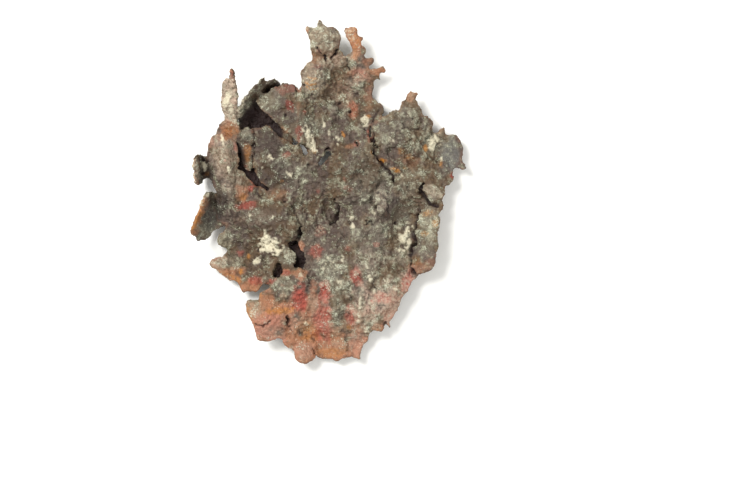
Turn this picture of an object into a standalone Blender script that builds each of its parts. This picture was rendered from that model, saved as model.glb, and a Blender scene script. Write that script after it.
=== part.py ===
"""Native copper grown as one thin, ragged, split sheet of overlapping leaves.

It lies flat on a surface with its left margin curled up. Sizes below are in millimetres.
X runs across the sheet, Y along its longest reach and Z up from the surface it lies on.
"""

import bpy
import numpy as np
from mathutils import Vector, noise
from mathutils.geometry import delaunay_2d_cdt

MM = 0.001
NODE_NAME = "copper_sheet"

BODY_THICKNESS = 2.4
RIM_THICKNESS = 1.2
RIM_WIDTH = 3.5
PLATE_SPACING = 1.0
VOXEL = 0.45
MAX_TRIANGLES = 9800
REST_SNAP = 0.12

LUMP_SIZE = 6.5
LUMP_HEIGHT = 0.9
NODULE_SIZE = 3.0
NODULE_HEIGHT = 1.1
LEDGE_SOFTNESS = 1.0
GROOVE_HALF_WIDTH = 1.1
GROOVE_DEPTH = 1.2

COPPER_COLOUR = (0.15, 0.115, 0.09, 1.0)
COPPER_METALLIC = 0.35
COPPER_ROUGHNESS = 0.7

# The sheet's height at mid thickness, before its hollows and rises.
SHEET_LEVEL = 4.7

# Hollows where the sheet sags to the surface it lies on, and rises between them:
# centre x, y, half width along x, half width along y, height.
SWELLS = (
    (-25.0, -17.0, 9.0, 8.0, -4.0),
    (24.0, -12.0, 7.5, 10.0, -4.0),
    (7.0, 29.0, 8.0, 8.0, -4.0),
    (-1.0, -45.0, 11.0, 7.0, -3.9),
    (1.0, -5.0, 8.0, 7.5, -4.0),
    (34.0, 12.0, 7.0, 6.0, -2.6),
    (-1.0, 47.0, 6.0, 5.0, 2.2),
    (9.0, 46.0, 3.5, 5.0, 1.6),
    (14.0, 12.0, 7.0, 6.0, 1.1),
    (-31.0, 8.0, 3.6, 10.0, 3.6),
    (-36.6, 6.0, 2.2, 6.0, -2.2),
    (-34.5, -6.0, 2.2, 6.0, -2.0),
    (32.0, -14.0, 3.0, 9.0, 2.2),
    (10.0, -26.0, 9.0, 6.0, 0.9),
    (-19.0, -38.0, 6.0, 6.0, 1.2),
)

# Ledges: areas that stand above (or lie below) the sheet around them by the height given.
LEDGES = (
    (1.2, ((26.4, -5.2), (30, -5.5), (34.5, -4), (35, -18), (33, -25), (27, -26), (24.9, -22.4),
           (25.6, -19), (26.6, -16), (26, -13.5), (27, -10))),
    (1.1, ((28.6, 2.2), (31, 2.6), (34.6, 0.5), (34.4, -2.4), (31.5, -2.6), (29.2, -0.6))),
    (-1.2, ((-1.6, -3.2), (1, -2.8), (3, -3.6), (2.8, -6.2), (1.8, -9), (-0.8, -9.4), (-2.2, -6.4))),
    (0.8, ((13, 19), (16, 22), (22, 26), (27, 27), (31, 20), (27, 12), (20, 7), (16, 11))),
    (1.0, ((-8.6, 30), (-9, 36.5), (-5.5, 38.6), (-2, 38.8), (0.6, 35), (-1, 30), (-4.5, 28.6))),
    (0.9, ((-23.5, -4), (-16, -3), (-10.8, -7), (-9.8, -13), (-14, -16.5), (-21, -13), (-25, -9))),
    (0.8, ((-16.4, -26), (-13.6, -23.6), (-10, -23), (-6, -25), (-6.5, -31), (-13, -33), (-19, -30))),
    (0.7, ((4, 40), (11, 40.5), (13, 34), (9, 31), (4, 34))),
    (0.9, ((-1, 12), (3, 13.5), (9, 13), (12, 16), (13.5, 12), (15, 8), (14, 2), (12.5, -2.5),
           (8, -3.5), (3.5, -3), (0, -1.5), (-2, 2), (-2.6, 7))),
    (-0.8, ((-38, -17), (-28, -17.4), (-21, -15), (-16, -19), (-17, -25), (-24, -31), (-38, -26))),
    (0.6, ((-27, -33), (-18, -33), (-12.6, -36), (-12.6, -42), (-15, -46), (-26, -46))),
    (0.6, ((-12, -44), (-8, -43.4), (-4.4, -45), (-3.6, -48), (-4.4, -53), (-12, -53))),
    (0.6, ((13, -2), (20, 3), (27, 1), (28, -4), (22, -8), (15.6, -7))),
)

# Cracks and seams between the blocks of the sheet, as the points along each.
GROOVES = (
    ((12.3, 18), (12.8, 16.5), (14, 15), (14.8, 13), (15.6, 10.4), (17.3, 8), (19, 5.5), (19.6, 3.6)),
    ((-11.4, -3.4), (-10, -5.4), (-9.4, -7.4), (-7.8, -9.8), (-8.6, -12), (-9.4, -14.4)),
    ((27.4, -6), (26.3, -11), (25.7, -14), (26.3, -16), (24.7, -19), (25, -22.5), (26, -24.5)),
    ((2.6, -3), (3.2, -4.2), (2.8, -6), (2.2, -8.4), (0.4, -9.9)),
    ((13, -1.5), (12.8, -3.4), (14.4, -5), (15.4, -7.2)),
    ((27.3, 1.8), (28.4, -0.6), (29.3, -2.8), (32, -4)),
    ((-3.2, 42.6), (-2.2, 41.2), (-0.6, 40), (1.2, 40.4), (3, 42.3)),
    ((5.4, 40), (6, 38.2), (6.6, 36.6)),
    ((-12.2, -37.4), (-11.8, -39.6), (-11, -41.4)),
    ((-5, -23.6), (-5.8, -26), (-5.2, -28.6)),
    ((-21.8, -39.8), (-19.4, -40.3), (-17.2, -39)),
)

# The main sheet, clockwise from the left tip of its head.
BODY = (
    (-6.8, 48.6), (-6.2, 49.8), (-4.2, 48.9), (-3.1, 49.2), (-2.6, 51.5), (-1.4, 49.9), (1.6, 49.2),
    (3.4, 47.5), (3.8, 46), (3.3, 43), (4.9, 40.5), (6.3, 41.4), (7.4, 41.8), (6.7, 44.8), (5.4, 46.4),
    (4.9, 48.4), (6.8, 49.2), (8.4, 49.2), (8.9, 46.9), (10.5, 46.2), (9.9, 44.6), (11.3, 42.8),
    (11, 40.2), (13.7, 40), (13.2, 38.2), (11.9, 37.1), (13.6, 36.9), (16.8, 37.5), (17.1, 35.7),
    (15.4, 35.3), (15.4, 33.6), (13.8, 33.4), (13.7, 31), (13.2, 28.4), (14.8, 27), (17, 25.4),
    (16.4, 23.2), (14.4, 20.8), (12.4, 19.2), (12.1, 16.4), (13.2, 16.2), (13.4, 18.6), (14.8, 21),
    (17, 22.3), (19.4, 24.1), (21.3, 24.2), (22, 27.1), (23.8, 28.8), (24.8, 30.2), (27.1, 29.4),
    (26.2, 27.8), (26.8, 25.9), (28.2, 24), (28.6, 22.7), (31.4, 21), (31.1, 19.2), (31.8, 17.7),
    (33.1, 17.8), (34.9, 19.1), (35.3, 17.1), (38.5, 17), (40.2, 14.3), (40.4, 11), (40.1, 9.8),
    (41.3, 7), (40.7, 6.5), (38.6, 7.3), (37.4, 6), (37.6, 3.6), (36.3, 1.7), (34.9, 1.2), (34.3, -2),
    (34.3, -5), (33.1, -7.2), (33.7, -7.9), (33, -12), (33.1, -16.5), (32.3, -19.5), (31.8, -22.5),
    (30, -24.1), (27, -24.9), (25.5, -26.8), (23.8, -29.9), (22, -32.2), (20.7, -35.8), (18.6, -39),
    (18.9, -40.8), (17.9, -40.1), (17, -39.3), (16.4, -41.6), (15.8, -42.1), (13.6, -41.5), (12.6, -42.2),
    (12, -44.4), (10.5, -46.2), (9.5, -50.6), (7, -49.4), (5.2, -50.1), (2.7, -51), (1, -50.2),
    (-1.3, -50.3), (-3, -49.8), (-3.8, -48.4), (-4.2, -50), (-6, -51.5), (-8.7, -51.3), (-10.2, -49),
    (-11, -47.3), (-12.8, -46.4), (-13.8, -44.1), (-16, -44.4), (-19.3, -45.1), (-21.2, -44.4),
    (-21.8, -41.9), (-23.4, -38.2), (-24.6, -34.5), (-24.2, -32.8), (-20.9, -32.5), (-20.3, -30.3),
    (-18, -29.2), (-16.6, -27.6), (-18.6, -27), (-19.9, -28.2), (-21.4, -30.4), (-24.4, -29.9),
    (-26, -29.8), (-27.3, -27.3), (-29.5, -26.7), (-31.5, -25.3), (-34, -23.2), (-35.8, -21.6),
    (-34.6, -20.2), (-32.3, -19.7), (-31.4, -18.6), (-28.4, -17), (-31.5, -16.8), (-33.3, -15.2),
    (-32.9, -12.8), (-31.2, -12), (-30.4, -9.8), (-33, -9), (-34.2, -5), (-34, -1.6), (-33.2, 0.1),
    (-35, 3.4), (-36.9, 4.4), (-37, 8), (-36.2, 11), (-35.9, 13.6), (-35, 16.2), (-33, 17.3),
    (-31, 16.5), (-28.4, 15.6), (-27.2, 12.6), (-26.8, 9.5), (-27.4, 7.2), (-25.4, 5.8), (-23.4, 3.3),
    (-21.8, 1.6), (-20, 1.3), (-18.2, 0.2), (-17.4, 0.5), (-20, 2.7), (-22, 6), (-22.4, 10),
    (-22.7, 19.3), (-20, 19), (-17.9, 20.1), (-15, 18.5), (-14, 17), (-11.5, 16.2), (-9.5, 14.6),
    (-8.6, 17), (-9, 24), (-8.4, 29.6), (-7.8, 33.3), (-8.1, 36.5), (-6.2, 38), (-4.6, 39.4),
    (-5, 42), (-5.2, 45),
)

# Openings that go right through the main sheet.
BODY_HOLES = (
    ((-11.4, -15.6), (-9.6, -15), (-8.2, -18.9), (-6.9, -19.4), (-7.2, -21.8), (-9, -22.8),
     (-11.2, -22.6), (-9.6, -21), (-9.4, -19.2), (-11.2, -17.6)),
    ((-16.4, -23), (-15.4, -21.4), (-14.4, -21.6), (-14.3, -24.4), (-15.4, -25.3), (-16.6, -24.4)),
    ((-3.1, 7.6), (-2.2, 7.5), (-0.7, 9.4), (0.9, 11), (0.9, 12.2), (-0.6, 12.6), (-1.7, 10.4)),
)

# The upper leaf lies over the main sheet, and its free edge faces down and left.
UPPER_LEAF = (
    (-21.5, 29), (-21.2, 26.6), (-19.6, 23.8), (-17.6, 22.2), (-16, 20.4), (-13.5, 17.8), (-10.7, 16),
    (-8.3, 14), (-5.5, 13.4), (-2, 17), (-1.5, 24), (-4, 29), (-8.6, 30), (-9.4, 31.6), (-12, 32.3),
    (-14.3, 31.6), (-16.4, 31), (-18, 29.6), (-20, 29.4),
)
UPPER_LEAF_LIFT = 2.6

# A lower leaf runs below the gaps beside the strip and the upper leaf and backs both.
LOWER_LEAF = (
    (-28.6, 12), (-28.2, 6), (-25, 2), (-19, -1.6), (-14, 1), (-11, 8), (-10.4, 15), (-12.6, 22),
    (-16, 28), (-20, 30), (-23.6, 27.6), (-26.4, 22), (-27.4, 16),
)

# Another lies below the holes at the lower left.
LOWEST_LEAF = (
    (-21, -21.6), (-19, -16), (-15, -12), (-9, -10.6), (-4.6, -12.6), (-2.6, -18), (-3.6, -25),
    (-8, -29), (-14, -30), (-19, -27.6),
)

# The back leaf stands up behind the upper leaf, from the neck to a row of knobs.
BACK_LEAF = (
    (-27.2, 18.4), (-27, 21), (-26.4, 24.2), (-24.8, 27.3), (-23, 29.6), (-22.4, 31), (-21, 31.8),
    (-20.2, 33.2), (-19.2, 34), (-18.3, 32.6), (-16, 33.6), (-14.5, 32.6), (-14, 30.4), (-17, 29.8),
    (-20.2, 29), (-22.4, 26.6), (-23.6, 23.4), (-24.4, 20.4), (-24.4, 16.6), (-26.4, 16),
)

# A narrow strip that closes most of the gap beside the left ridge.
STRIP = (
    (-26.8, 17.6), (-25.5, 18.7), (-24.2, 19.3), (-22.6, 18.6), (-22.2, 14), (-22.3, 10), (-22.8, 6.6),
    (-23.6, 6), (-25, 6.8), (-25.9, 8.6), (-26.2, 12), (-26.9, 15),
)

# The blade: a narrow leaf that turns up at the left, on a neck behind the ridge.
BLADE = (
    (-34, 15.6), (-33.6, 17.4), (-33, 19.4), (-31.2, 21.4), (-30.8, 22.8), (-31.8, 24.6), (-31.9, 27.6),
    (-31.4, 31.5), (-30.9, 33.2), (-29.2, 33.6), (-29.2, 35.2), (-28.3, 36.3), (-27.3, 35.4),
    (-27.4, 32.4), (-26.8, 29), (-27, 25.4), (-27.4, 22.4), (-26.4, 19.6), (-26.2, 16), (-28, 14.4),
    (-31, 14.4),
)

# Two flaps along the left margin, curled up steeply from the foot of the ridge.
LOWER_FLAP = (
    (-40.9, -12.4), (-39.8, -9.4), (-38.8, -6.8), (-37.4, -3.4), (-36.2, -0.7), (-35, 0), (-34, -0.4),
    (-32.4, -2), (-31.2, -5), (-30.6, -9), (-31.4, -10.4), (-33.8, -11.3), (-35.4, -13), (-37.2, -14.7),
    (-38.8, -14.7), (-39.8, -13.6),
)
UPPER_FLAP = (
    (-38.2, 2.4), (-39.2, 3.2), (-39.5, 5), (-39.6, 9), (-39.2, 10.4), (-38.2, 11), (-36.4, 11),
    (-33.6, 10), (-33, 7), (-33.8, 4), (-36.6, 3.6),
)

# The small round knob between the upper leaf and the head.
KNOB_CENTRE = (-8.3, 31.4)
KNOB_RADIUS = 1.1


def smooth_step(value):
    t = np.clip(value, 0.0, 1.0)
    return t * t * (3.0 - 2.0 * t)


def distance_inside(points, outline):
    """Distance from each point to the outline, positive inside it."""
    x, y = points[:, 0], points[:, 1]
    best = np.full(len(points), np.inf)
    inside = np.zeros(len(points), bool)
    corners = np.array(outline, float)
    for (ax, ay), (bx, by) in zip(corners, np.roll(corners, -1, axis=0)):
        dx, dy = bx - ax, by - ay
        t = np.clip(((x - ax) * dx + (y - ay) * dy) / (dx * dx + dy * dy), 0.0, 1.0)
        best = np.minimum(best, np.hypot(x - ax - t * dx, y - ay - t * dy))
        if ay != by:
            crosses = (ay > y) != (by > y)
            inside ^= crosses & (x < ax + (y - ay) * dx / dy)
    return np.where(inside, best, -best)


def distance_to_path(points, path):
    x, y = points[:, 0], points[:, 1]
    best = np.full(len(points), np.inf)
    for (ax, ay), (bx, by) in zip(path, path[1:]):
        dx, dy = bx - ax, by - ay
        t = np.clip(((x - ax) * dx + (y - ay) * dy) / (dx * dx + dy * dy), 0.0, 1.0)
        best = np.minimum(best, np.hypot(x - ax - t * dx, y - ay - t * dy))
    return best


def lumps(points, size, layer):
    return np.array([noise.noise(Vector((x / size, y / size, layer))) for x, y in points])


def sheet_height(points):
    """Height of the main sheet at mid thickness."""
    x, y = points[:, 0], points[:, 1]
    height = np.full(len(points), SHEET_LEVEL)
    for cx, cy, wide, long, rise in SWELLS:
        height += rise * np.exp(-((x - cx) / wide) ** 2 - ((y - cy) / long) ** 2)
    for rise, outline in LEDGES:
        height += rise * smooth_step(0.5 + distance_inside(points, outline) / LEDGE_SOFTNESS)
    height += LUMP_HEIGHT * lumps(points, LUMP_SIZE, 1.7)
    return height


def groove_depth(points):
    """How far the cracks and seams cut down from the top face."""
    depth = np.zeros(len(points))
    for path in GROOVES:
        near = distance_to_path(points, path) / GROOVE_HALF_WIDTH
        depth = np.maximum(depth, GROOVE_DEPTH * (1.0 - smooth_step(near)))
    return depth


def upper_leaf_height(points):
    free = smooth_step((-3.0 - points[:, 0]) / 6.0)
    return sheet_height(points) + UPPER_LEAF_LIFT * free


def back_leaf_height(points):
    x, y = points[:, 0], points[:, 1]
    outward = smooth_step(((y - 19.0) - 1.15 * (x + 24.4)) / 6.0)
    return 3.0 + 6.4 * outward + 0.5 * lumps(points, 4.0, 5.1)


def strip_height(points):
    return 2.9 + 0.10 * (points[:, 1] - 6.0) + 0.4 * lumps(points, 4.0, 7.3)


def blade_height(points):
    x, y = points[:, 0], points[:, 1]
    rise = 0.58 * np.clip(y - 19.0, 0.0, None)
    return 3.6 + rise + 0.35 * (x + 29.5) + 0.7 * lumps(points, 4.0, 9.2)


def lower_flap_height(points):
    x, y = points[:, 0], points[:, 1]
    foot = -33.4 + 0.13 * y
    rim = -36.2 + 0.40 * y
    climb = np.clip((foot - x) / (foot - rim), 0.0, 1.2)
    ragged = 1.0 + 0.35 * lumps(points * (0.3, 1.0), 2.7, 3.9)
    return 2.6 + 8.2 * ragged * climb ** 1.5 + 0.5 * lumps(points, 4.5, 3.3)


def upper_flap_height(points):
    climb = np.clip((-35.6 - points[:, 0]) / 4.0, 0.0, 1.2)
    ragged = 1.0 + 0.35 * lumps(points * (0.3, 1.0), 2.4, 4.9)
    return 2.8 + 7.2 * ragged * climb ** 1.4 + 0.4 * lumps(points, 4.0, 4.4)


def lower_leaf_height(points):
    x, y = points[:, 0], points[:, 1]
    to_sheet = smooth_step((x + 19.0) / 6.0)
    to_back = smooth_step((y - 1.0 * x - 44.0) / 6.0)
    return 1.7 + 2.4 * to_sheet + 1.6 * to_back + 0.35 * lumps(points, 5.0, 6.6)


def lowest_leaf_height(points):
    x, y = points[:, 0], points[:, 1]
    outward = np.hypot((x + 12.0) / 8.0, (y + 20.0) / 8.0)
    return 1.5 + 2.4 * smooth_step((outward - 0.75) / 0.5) + 0.3 * lumps(points, 4.0, 8.8)


def inner_points(outline, holes, spacing):
    """Points on a triangular lattice that lie well inside the outline and outside its holes."""
    corners = np.array(outline, float)
    low, high = corners.min(axis=0), corners.max(axis=0)
    row_step = spacing * np.sqrt(3.0) / 2.0
    rows = []
    for row, y in enumerate(np.arange(low[1], high[1], row_step)):
        x = np.arange(low[0] + (row % 2) * spacing / 2.0, high[0], spacing)
        rows.append(np.column_stack((x, np.full(len(x), y))))
    points = np.vstack(rows)
    margin = 0.45 * spacing
    keep = distance_inside(points, outline) > margin
    for hole in holes:
        keep &= distance_inside(points, hole) < -margin
    return points[keep]


def even_outline(outline, spacing):
    """The outline with its long sides split up."""
    corners = np.array(outline, float)
    points = []
    for a, b in zip(corners, np.roll(corners, -1, axis=0)):
        parts = max(1, int(round(np.linalg.norm(b - a) / spacing)))
        points += [a + (b - a) * part / parts for part in range(parts)]
    return points


def triangulate(outline, holes, spacing):
    """Flat triangles that fill the outline apart from its holes."""
    points, loops = [], []
    for loop in (outline, *holes):
        start = len(points)
        points += even_outline(loop, spacing)
        loops.append(list(range(start, len(points))))
    points += list(inner_points(outline, holes, spacing))
    edges = [(a, b) for loop in loops for a, b in zip(loop, loop[1:] + loop[:1])]
    flat = [Vector((float(x), float(y))) for x, y in points]
    made = delaunay_2d_cdt(flat, edges, [], 1, 1e-5)
    flat = np.array([tuple(v) for v in made[0]])
    faces = np.array([tuple(face) for face in made[2]])
    centres = flat[faces].mean(axis=1)
    solid = distance_inside(centres, outline) > 0.0
    for hole in holes:
        solid &= distance_inside(centres, hole) < 0.0
    return flat, [tuple(face) for face in faces[solid].tolist()]


def surface_normals(points, height):
    step = 0.2
    across = height(points + (step, 0.0)) - height(points - (step, 0.0))
    along = height(points + (0.0, step)) - height(points - (0.0, step))
    normals = np.column_stack((-across / (2 * step), -along / (2 * step), np.ones(len(points))))
    return normals / np.linalg.norm(normals, axis=1)[:, None]


def boundary_edges(faces):
    """Edges with one face, each in that face's own direction."""
    used = {(a, b) for face in faces for a, b in zip(face, face[1:] + face[:1])}
    return [(a, b) for a, b in used if (b, a) not in used]


def no_grooves(points):
    return np.zeros(len(points))


def plate(outline, height, holes=(), thickness=BODY_THICKNESS, grooves=no_grooves):
    """One leaf: a bumpy plate with a thin rim, as closed vertices and faces in millimetres."""
    flat, faces = triangulate(outline, holes, PLATE_SPACING)
    inward = distance_inside(flat, outline)
    for hole in holes:
        inward = np.minimum(inward, -distance_inside(flat, hole))
    half = 0.5 * (RIM_THICKNESS + (thickness - RIM_THICKNESS) * smooth_step(inward / RIM_WIDTH))
    half_top = half + NODULE_HEIGHT * lumps(flat, NODULE_SIZE, 2.9) * smooth_step(inward / 1.5)
    half_top = np.maximum(half_top - grooves(flat), 0.3 - half)
    middle = np.column_stack((flat, height(flat)))
    normals = surface_normals(flat, height)
    top = middle + normals * half_top[:, None]
    bottom = middle - normals * half[:, None]
    count = len(flat)
    closed = list(faces)
    closed += [tuple(i + count for i in reversed(face)) for face in faces]
    closed += [(b, a, a + count, b + count) for a, b in boundary_edges(faces)]
    return np.vstack((top, bottom)), closed


def knob(centre, radius, level):
    """A small round knob, as a ball of latitude and longitude faces."""
    rings, sides = 6, 10
    points = [(0.0, 0.0, 1.0)]
    for ring in range(1, rings):
        polar = np.pi * ring / rings
        for side in range(sides):
            turn = 2.0 * np.pi * side / sides
            points.append((np.sin(polar) * np.cos(turn), np.sin(polar) * np.sin(turn), np.cos(polar)))
    points.append((0.0, 0.0, -1.0))
    faces = [(0, 1 + side, 1 + (side + 1) % sides) for side in range(sides)]
    for ring in range(rings - 2):
        near, far = 1 + ring * sides, 1 + (ring + 1) * sides
        for side in range(sides):
            after = (side + 1) % sides
            faces.append((near + side, far + side, far + after, near + after))
    last = 1 + (rings - 2) * sides
    faces += [(len(points) - 1, last + (side + 1) % sides, last + side) for side in range(sides)]
    return np.array(points) * radius + (centre[0], centre[1], level), faces


def add_object(name, points, faces):
    mesh = bpy.data.meshes.new(name)
    mesh.from_pydata([tuple(p) for p in np.asarray(points) * MM], [], faces)
    mesh.update()
    made = bpy.data.objects.new(name, mesh)
    bpy.context.scene.collection.objects.link(made)
    return made


def joined(shapes):
    points, faces, start = [], [], 0
    for shape_points, shape_faces in shapes:
        points.append(shape_points)
        faces += [tuple(i + start for i in face) for face in shape_faces]
        start += len(shape_points)
    return np.vstack(points), faces


def fused(rough):
    """The mesh of the leaves grown together: one skin round them all."""
    remesh = rough.modifiers.new("Grown together", "REMESH")
    remesh.mode = "VOXEL"
    remesh.voxel_size = VOXEL * MM
    remesh.use_smooth_shade = True
    graph = bpy.context.evaluated_depsgraph_get()
    mesh = bpy.data.meshes.new_from_object(rough.evaluated_get(graph))
    bpy.data.objects.remove(rough, do_unlink=True)
    return mesh


def rest_on_surface(mesh, snap):
    """Flattens whatever reaches down to the surface, and what ends just above it."""
    points = np.empty(len(mesh.vertices) * 3, np.float32)
    mesh.vertices.foreach_get("co", points)
    points = points.reshape(-1, 3)
    low = points[:, 2] < snap * MM
    points[low, 2] = 0.0
    mesh.vertices.foreach_set("co", points.ravel())
    mesh.update()


def simplified(obj):
    """Fewer, larger triangles on the same form."""
    count = sum(len(face.vertices) - 2 for face in obj.data.polygons)
    decimate = obj.modifiers.new("Simplified", "DECIMATE")
    decimate.ratio = min(1.0, MAX_TRIANGLES / count)
    graph = bpy.context.evaluated_depsgraph_get()
    mesh = bpy.data.meshes.new_from_object(obj.evaluated_get(graph))
    obj.modifiers.clear()
    obj.data = mesh
    return mesh


def copper_material():
    material = bpy.data.materials.new("weathered_copper")
    material.use_nodes = True
    shader = material.node_tree.nodes["Principled BSDF"]
    shader.inputs["Base Color"].default_value = COPPER_COLOUR
    shader.inputs["Metallic"].default_value = COPPER_METALLIC
    shader.inputs["Roughness"].default_value = COPPER_ROUGHNESS
    return material


def leaves():
    knob_level = float(sheet_height(np.array([KNOB_CENTRE]))[0]) + 1.0
    return (
        plate(BODY, sheet_height, BODY_HOLES, grooves=groove_depth),
        plate(UPPER_LEAF, upper_leaf_height, thickness=2.0),
        plate(BACK_LEAF, back_leaf_height, thickness=1.6),
        plate(STRIP, strip_height, thickness=2.0),
        plate(BLADE, blade_height, thickness=1.8),
        plate(LOWER_FLAP, lower_flap_height, thickness=1.8),
        plate(UPPER_FLAP, upper_flap_height, thickness=1.6),
        plate(LOWER_LEAF, lower_leaf_height, thickness=1.5),
        plate(LOWEST_LEAF, lowest_leaf_height, thickness=1.4),
        knob(KNOB_CENTRE, KNOB_RADIUS, knob_level),
    )


def build():
    for old in list(bpy.data.objects):
        bpy.data.objects.remove(old, do_unlink=True)
    rough = add_object("rough", *joined(leaves()))
    mesh = fused(rough)
    rest_on_surface(mesh, REST_SNAP)
    sheet = bpy.data.objects.new(NODE_NAME, mesh)
    bpy.context.scene.collection.objects.link(sheet)
    mesh = simplified(sheet)
    rest_on_surface(mesh, REST_SNAP)
    mesh.name = NODE_NAME
    mesh.materials.clear()
    mesh.materials.append(copper_material())
    mesh.shade_smooth()


build()
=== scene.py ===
# Native copper, float copper: one thin, ragged sheet of leaves that grew together, with its weathered skin.
import math
from functools import partial
import bpy
import numpy as np
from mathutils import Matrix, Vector, noise
from mathutils.geometry import delaunay_2d_cdt


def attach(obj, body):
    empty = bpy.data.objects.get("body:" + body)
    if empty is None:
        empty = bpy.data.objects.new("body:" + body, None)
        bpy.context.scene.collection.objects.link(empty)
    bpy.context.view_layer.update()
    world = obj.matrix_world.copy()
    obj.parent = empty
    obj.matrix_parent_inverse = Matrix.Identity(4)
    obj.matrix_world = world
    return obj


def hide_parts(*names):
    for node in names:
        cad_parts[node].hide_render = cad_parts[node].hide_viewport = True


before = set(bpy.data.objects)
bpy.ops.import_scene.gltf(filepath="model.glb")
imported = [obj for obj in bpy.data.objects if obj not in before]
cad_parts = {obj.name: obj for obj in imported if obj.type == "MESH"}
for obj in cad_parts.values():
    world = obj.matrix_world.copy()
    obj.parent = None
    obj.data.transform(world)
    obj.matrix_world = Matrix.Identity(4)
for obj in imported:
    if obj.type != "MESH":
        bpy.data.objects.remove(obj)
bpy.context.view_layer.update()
mm = 0.001

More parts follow.
